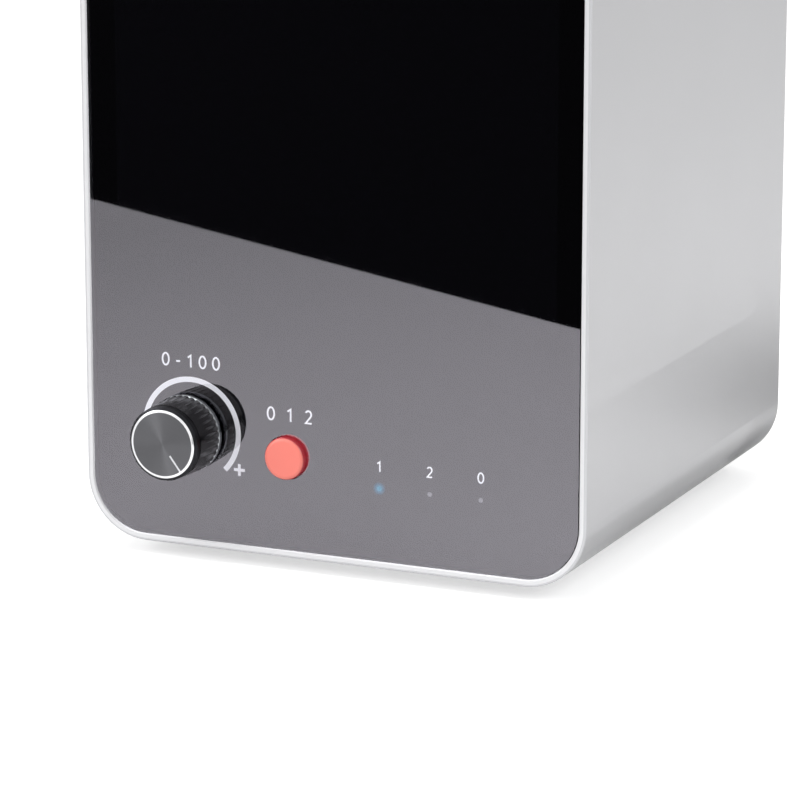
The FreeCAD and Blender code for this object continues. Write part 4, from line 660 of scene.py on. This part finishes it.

# Face turning fans the light out from the cap's middle. The real turning marks are 0.05 mm
# apart. They are drawn 0.3 mm apart so that they show. Outside the rim the cap's side is
# painted nearly black, as painted shade for the dark that it mirrors.
spun, shader = surface("face_turned_aluminium", {"Metallic": 1.0, "Anisotropic": 0.85,
                                                 "Anisotropic Rotation": 0.25})
tree = spun.node_tree
place = add(tree, "TexCoord")
centred = add(tree, "VectorMath", {0: place.outputs["Object"], 1: (knob_x, 0.0, knob_z)},
              operation="SUBTRACT")
flattened = add(tree, "VectorMath", {0: centred.outputs[0], 1: (1.0, 0.0, 1.0)},
                operation="MULTIPLY")
radius = add(tree, "VectorMath", {0: flattened.outputs[0]}, operation="LENGTH")
groove = add(tree, "Math", {0: radius.outputs["Value"], 1: 2 * math.pi / turning_step},
             operation="MULTIPLY")
groove = add(tree, "Math", {0: groove.outputs[0]}, operation="SINE")
rim = add(tree, "Math", {0: radius.outputs["Value"], 1: bright_rim, 2: rim_half_width},
          operation="COMPARE")
outside = add(tree, "Math", {0: radius.outputs["Value"], 1: bright_rim + rim_half_width},
              operation="GREATER_THAN")
tone = add(tree, "MapRange", {"Value": groove.outputs[0], "From Min": -1.0, "To Min": 0.0,
                              "To Max": 1.0})
face_tone = add(tree, "Mix", {0: tone.outputs[0], 6: linear("#606063"),
                              7: linear("#68686b")}, data_type="RGBA")
colour = add(tree, "Mix", {0: rim.outputs[0], 6: face_tone.outputs[2],
                           7: linear("#f3f3f5")}, data_type="RGBA")
# Painted shade on the cap's side, outside the rim.
colour = add(tree, "Mix", {0: outside.outputs[0], 6: colour.outputs[2],
                           7: linear("#2c2c2f")}, data_type="RGBA")
roughness = add(tree, "Mix", {0: rim.outputs[0], 2: 0.36, 3: 0.3})
around = add(tree, "Tangent", direction_type="RADIAL", axis="Y")
tree.links.new(colour.outputs[2], shader.inputs["Base Color"])
tree.links.new(roughness.outputs[0], shader.inputs["Roughness"])
tree.links.new(around.outputs[0], shader.inputs["Tangent"])
dress(spun, "knob_cap")

# Blender's wave texture repeats every 0.314 m at a scale of 1.
wave_repeat = 0.314

# Dark anodising leaves the ring smooth, a shade darker than bare metal.
dark_anodised, shader = surface("dark_anodised_turned_aluminium", {"Metallic": 1.0,
                                                                   "Roughness": 0.22})
tree = dark_anodised.node_tree
place = add(tree, "TexCoord")
turning = add(tree, "TexWave", {"Vector": place.outputs["Object"],
                                "Scale": wave_repeat / turning_step}, bands_direction="Y")
tone = add(tree, "Mix", {0: turning.outputs["Fac"], 6: linear("#878a8d"),
                         7: linear("#94979a")}, data_type="RGBA")
tree.links.new(tone.outputs[2], shader.inputs["Base Color"])
dress(dark_anodised, "knob_ring")

# The pointer is a white line whose ink is mostly sunk into the cap's face.
pointer_turn = math.radians(-53)
pointer_start, pointer_end = 4.0 * MM, 9.5 * MM
pointer_sunk = 0.03 * MM
pointer_path = [(knob_x + reach * math.cos(pointer_turn),
                 knob_z + reach * math.sin(pointer_turn))
                for reach in (pointer_start, pointer_end)]
pointer = ribbons("print_pointer", [pointer_path], wide_stroke, cap_face + pointer_sunk)
pointer.data.materials.append(white_ink)
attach(pointer, "knob")


# Behind the knob: a brass insert on the shaft of a potentiometer, whose steel can, washer
# and nut hold it in the front plate.

tarnish_cloud, plate_cloud = 2 * MM, 1.5 * MM

# Turned brass is bright yellow, and a little browner where it has begun to tarnish.
brass, shader = surface("turned_brass", {"Metallic": 1.0, "Roughness": 0.25})
tree = brass.node_tree
place = add(tree, "TexCoord")
tarnish = add(tree, "TexNoise", {"Vector": place.outputs["Object"],
                                 "Scale": 1 / tarnish_cloud})
tone = add(tree, "Mix", {0: tarnish.outputs["Fac"], 6: linear("#b89650"),
                         7: linear("#d3b36c")}, data_type="RGBA")
tree.links.new(tone.outputs[2], shader.inputs["Base Color"])
dress(brass, "knob_insert")

# Nickel plate is a warm grey metal with a light haze.
nickel, shader = surface("nickel_plated_steel", {"Base Color": linear("#bdbbb5"),
                                                 "Metallic": 1.0})
tree = nickel.node_tree
place = add(tree, "TexCoord")
plate_haze = add(tree, "TexNoise", {"Vector": place.outputs["Object"],
                                    "Scale": 1 / plate_cloud, "Detail": 3.0})
roughness = add(tree, "MapRange", {"Value": plate_haze.outputs["Fac"], "To Min": 0.2,
                                   "To Max": 0.34})
tree.links.new(roughness.outputs[0], shader.inputs["Roughness"])
dress(nickel, "pot_shaft", "pot_body", "pot_washer", "pot_nut", "inlet_pins", "fuse_caps",
      "pump_motor", "front_spacers", "board_spacers")


# Mode button: moulded in red polycarbonate, in a mould that is blasted at the face and
# polished round the side. Its plunger and its switch are moulded in black nylon, as are the
# fan, the pump's head and the parts of the power inlet.

button_face = corner_of("mode_button", min).y
face_depth, side_depth = 0.25 * MM, 0.75 * MM
button_grain, nylon_grain = 0.5 * MM, 0.35 * MM

# The face is painted a pale red as a painted highlight, and the side a deeper red as painted
# shade, both on the same red plastic. The blasted face is satin and the polished side glossy.
red_plastic, shader = surface("moulded_red_polycarbonate", {
    "IOR": 1.58, "Subsurface Weight": 0.1, "Subsurface Radius": (1.0, 0.25, 0.2),
    "Subsurface Scale": 0.8 * MM})
tree = red_plastic.node_tree
place = add(tree, "TexCoord")
apart = add(tree, "SeparateXYZ", {0: place.outputs["Object"]})
polished_and_shaded_side = add(tree, "MapRange", {"Value": apart.outputs["Y"],
                                "From Min": button_face + face_depth,
                                "From Max": button_face + side_depth})
mould = add(tree, "TexNoise", {"Vector": place.outputs["Object"],
                               "Scale": 1 / button_grain, "Detail": 3.0})
blasted_face = add(tree, "MapRange", {"Value": mould.outputs["Fac"], "To Min": 0.42,
                                      "To Max": 0.5})
roughness = add(tree, "Mix", {0: polished_and_shaded_side.outputs[0], 2: blasted_face.outputs[0], 3: 0.2})
# Painted highlight on the face and painted shade on the side.
tone = add(tree, "Mix", {0: polished_and_shaded_side.outputs[0], 6: linear("#ff8678"),
                         7: linear("#b82d38")}, data_type="RGBA")
tree.links.new(tone.outputs[2], shader.inputs["Base Color"])
tree.links.new(roughness.outputs[0], shader.inputs["Roughness"])
dress(red_plastic, "mode_button")

# Nylon from a spark-eroded mould is a satin black with a fine grain.
nylon, shader = surface("moulded_black_nylon", {"Base Color": linear("#1d1d1f"),
                                                "Roughness": 0.5})
tree = nylon.node_tree
place = add(tree, "TexCoord")
spark = add(tree, "TexNoise", {"Vector": place.outputs["Object"],
                               "Scale": 1 / nylon_grain, "Detail": 3.0})
relief = add(tree, "Bump", {"Strength": 0.25, "Distance": 0.05 * MM,
                            "Height": spark.outputs["Fac"]})
tree.links.new(relief.outputs[0], shader.inputs["Normal"])
dress(nylon, "mode_plunger", "mode_switch", "fan_frame", "fan_rotor", "power_inlet",
      "fuse_drawer", "power_rocker", "driver_transistors", "pump_head")


# Indicators: three clear light pipes, moulded in one resin, end behind the small windows in
# the panel's print. Milky lamps on the front board shine into them.

first_lamp_end = (lamp_x[0] + lamp_x[1]) / 2
milk_cloud = 1 * MM

# Clear resin carries the lamp's light. The first pipe is lit blue, and the other two are dark
# and look a little grey.
clear_resin, shader = surface("clear_moulded_resin", {
    "Roughness": 0.2, "Specular IOR Level": 0.1, "Emission Strength": 0.4})
tree = clear_resin.node_tree
place = add(tree, "TexCoord")
apart = add(tree, "SeparateXYZ", {0: place.outputs["Object"]})
first = add(tree, "Math", {0: apart.outputs["X"], 1: first_lamp_end},
            operation="LESS_THAN")
colour = add(tree, "Mix", {0: first.outputs[0], 6: linear("#6f6f73"),
                           7: linear("#005f74")}, data_type="RGBA")
light = add(tree, "Mix", {0: first.outputs[0], 6: linear("#000000"),
                          7: linear("#007a98")}, data_type="RGBA")
tree.links.new(colour.outputs[2], shader.inputs["Base Color"])
tree.links.new(light.outputs[2], shader.inputs["Emission Color"])
dress(clear_resin, "light_pipes")

# Milky resin is nearly white and softly clouded.
lamp_resin, shader = surface("milky_lamp_resin", {"Roughness": 0.3})
tree = lamp_resin.node_tree
place = add(tree, "TexCoord")
milk = add(tree, "TexNoise", {"Vector": place.outputs["Object"], "Scale": 1 / milk_cloud})
tone = add(tree, "Mix", {0: milk.outputs["Fac"], 6: linear("#d5dde5"),
                         7: linear("#eef2f5")}, data_type="RGBA")
tree.links.new(tone.outputs[2], shader.inputs["Base Color"])
dress(lamp_resin, "indicator_lamps")


# Circuit boards: glass fibre laminate with etched copper tracks, printed with green solder
# resist, and screwed to spacers.

track_spacing = 6 * MM

# Through the glossy resist the tracks show as a paler, slightly raised net.
board_green, shader = surface("green_solder_resist", {"Roughness": 0.3, "IOR": 1.5})
tree = board_green.node_tree
place = add(tree, "TexCoord")
tracks = add(tree, "TexBrick", {
    "Vector": place.outputs["Object"], "Color1": linear("#155a36"),
    "Color2": linear("#12502f"), "Mortar": linear("#2f8a57"), "Scale": 1 / track_spacing,
    "Mortar Size": 0.03})
relief = add(tree, "Bump", {"Strength": 0.3, "Distance": 0.05 * MM,
                            "Height": tracks.outputs["Fac"]})
tree.links.new(tracks.outputs["Color"], shader.inputs["Base Color"])
tree.links.new(relief.outputs[0], shader.inputs["Normal"])
dress(board_green, "front_board", "supply_board", "driver_board", "control_board")


# Wound parts: pressed and sintered ferrite cores, and coils of enamelled copper wire whose
# turns lie side by side.

ferrite_grit = 0.4 * MM
wire_thickness = 0.6 * MM

# Sintered ferrite is dull and almost black, with a fine grit.
ferrite, shader = surface("sintered_ferrite", {"Roughness": 0.7})
tree = ferrite.node_tree
place = add(tree, "TexCoord")
grit = add(tree, "TexNoise", {"Vector": place.outputs["Object"],
                              "Scale": 1 / ferrite_grit, "Detail": 5.0})
tone = add(tree, "Mix", {0: grit.outputs["Fac"], 6: linear("#2b2b2d"),
                         7: linear("#444447")}, data_type="RGBA")
tree.links.new(tone.outputs[2], shader.inputs["Base Color"])
dress(ferrite, "transformer_core")

# Enamelled wire is a glossy copper brown, painted darker between the turns as painted shade
# in the grooves.
winding, shader = surface("enamelled_copper_winding", {"Metallic": 0.6, "Roughness": 0.35,
                                                       "Coat Weight": 0.5})
tree = winding.node_tree
place = add(tree, "TexCoord")
turns = add(tree, "TexWave", {"Vector": place.outputs["Object"],
                              "Scale": wave_repeat / wire_thickness},
            wave_type="BANDS", bands_direction="Z")
tone = add(tree, "Mix", {0: turns.outputs["Fac"], 6: linear("#7a3a16"),
                         7: linear("#c8793a")}, data_type="RGBA")
relief = add(tree, "Bump", {"Strength": 0.6, "Distance": 0.2 * MM,
                            "Height": turns.outputs["Fac"]})
tree.links.new(tone.outputs[2], shader.inputs["Base Color"])
tree.links.new(relief.outputs[0], shader.inputs["Normal"])
dress(winding, "transformer_coil", "supply_transformer")


# Capacitors and relays: aluminium cans in a shrunk dark blue sleeve, and moulded blue cases,
# soldered to their boards.

sleeve_cloud, case_cloud = 3 * MM, 1.5 * MM

# Shrunk vinyl is glossy and a little lighter where it stretched.
sleeve, shader = surface("shrunk_vinyl_sleeve", {"Roughness": 0.3, "IOR": 1.52})
tree = sleeve.node_tree
place = add(tree, "TexCoord")
stretch = add(tree, "TexNoise", {"Vector": place.outputs["Object"],
                                 "Scale": 1 / sleeve_cloud})
tone = add(tree, "Mix", {0: stretch.outputs["Fac"], 6: linear("#161c33"),
                         7: linear("#222a47")}, data_type="RGBA")
tree.links.new(tone.outputs[2], shader.inputs["Base Color"])
dress(sleeve, "supply_capacitors")

# The relays' polyester cases are a clouded mid blue.
relay_case, shader = surface("moulded_blue_case", {"Roughness": 0.35, "IOR": 1.5})
tree = relay_case.node_tree
place = add(tree, "TexCoord")
clouding = add(tree, "TexNoise", {"Vector": place.outputs["Object"],
                                  "Scale": 1 / case_cloud})
tone = add(tree, "Mix", {0: clouding.outputs["Fac"], 6: linear("#1b4a86"),
                         7: linear("#235a9c")}, data_type="RGBA")
tree.links.new(tone.outputs[2], shader.inputs["Base Color"])
dress(relay_case, "control_relays")


# Discharge cell: two machined blocks of white fluoropolymer hold a quartz tube, with a
# steel rod inside it and a slotted steel sleeve round it.

tool_step = 0.8 * MM
draw_length = 4 * MM
lathe_step = 0.4 * MM

# Fluoropolymer is waxy white and lets light sink in a little, and its colour is a little
# darker in bands that follow the cutter's soft marks.
fluoropolymer, shader = surface("machined_fluoropolymer", {
    "Roughness": 0.45, "IOR": 1.36, "Subsurface Weight": 0.2, "Subsurface Scale": 1.5 * MM})
tree = fluoropolymer.node_tree
place = add(tree, "TexCoord")
tooling = add(tree, "TexWave", {"Vector": place.outputs["Object"],
                                "Scale": wave_repeat / tool_step, "Distortion": 0.6},
              wave_type="BANDS", bands_direction="X")
tone = add(tree, "Mix", {0: tooling.outputs["Fac"], 6: linear("#e3e3df"),
                         7: linear("#efefec")}, data_type="RGBA")
tree.links.new(tone.outputs[2], shader.inputs["Base Color"])
dress(fluoropolymer, "cell_blocks")

# Drawn quartz is clear, with faint waves along its wall.
quartz, shader = surface("clear_quartz_glass", {"Base Color": linear("#f4f8f9"),
                                                "Roughness": 0.02, "IOR": 1.46,
                                                "Transmission Weight": 1.0})
tree = quartz.node_tree
place = add(tree, "TexCoord")
draw_mark = add(tree, "TexNoise", {"Vector": place.outputs["Object"],
                                   "Scale": 1 / draw_length})
relief = add(tree, "Bump", {"Strength": 0.05, "Distance": 0.05 * MM,
                            "Height": draw_mark.outputs["Fac"]})
tree.links.new(relief.outputs[0], shader.inputs["Normal"])
dress(quartz, "glass_tube", "fuse_tube")

# Turned stainless steel is a cool grey. The real marks are finer than the 0.4 mm at which
# they are drawn so that they show.
stainless, shader = surface("turned_stainless_steel", {"Base Color": linear("#b9b9bb"),
                                                       "Metallic": 1.0,
                                                       "Anisotropic": 0.4})
tree = stainless.node_tree
place = add(tree, "TexCoord")
lathe = add(tree, "TexWave", {"Vector": place.outputs["Object"],
                              "Scale": wave_repeat / lathe_step, "Distortion": 0.3},
            wave_type="BANDS", bands_direction="Y")
roughness = add(tree, "MapRange", {"Value": lathe.outputs["Fac"], "To Min": 0.2,
                                   "To Max": 0.34})
tree.links.new(roughness.outputs[0], shader.inputs["Roughness"])
dress(stainless, "inner_electrode", "outer_electrode", "outlet_spigot", "outlet_nut",
      "fan_guard")


# Hoses: extruded silicone tube, pushed over the spigots from the pump to the cell and from
# the cell to the outlet.

bloom_cloud = 2 * MM

# Silicone is milky, lets some light through, and has a dull bloom.
silicone, shader = surface("translucent_silicone", {
    "Roughness": 0.4, "IOR": 1.41, "Subsurface Weight": 0.4, "Subsurface Scale": 1.0 * MM})
tree = silicone.node_tree
place = add(tree, "TexCoord")
bloom = add(tree, "TexNoise", {"Vector": place.outputs["Object"],
                               "Scale": 1 / bloom_cloud})
tone = add(tree, "Mix", {0: bloom.outputs["Fac"], 6: linear("#d2d3cf"),
                         7: linear("#e2e3df")}, data_type="RGBA")
tree.links.new(tone.outputs[2], shader.inputs["Base Color"])
dress(silicone, "inlet_hose", "outlet_hose")
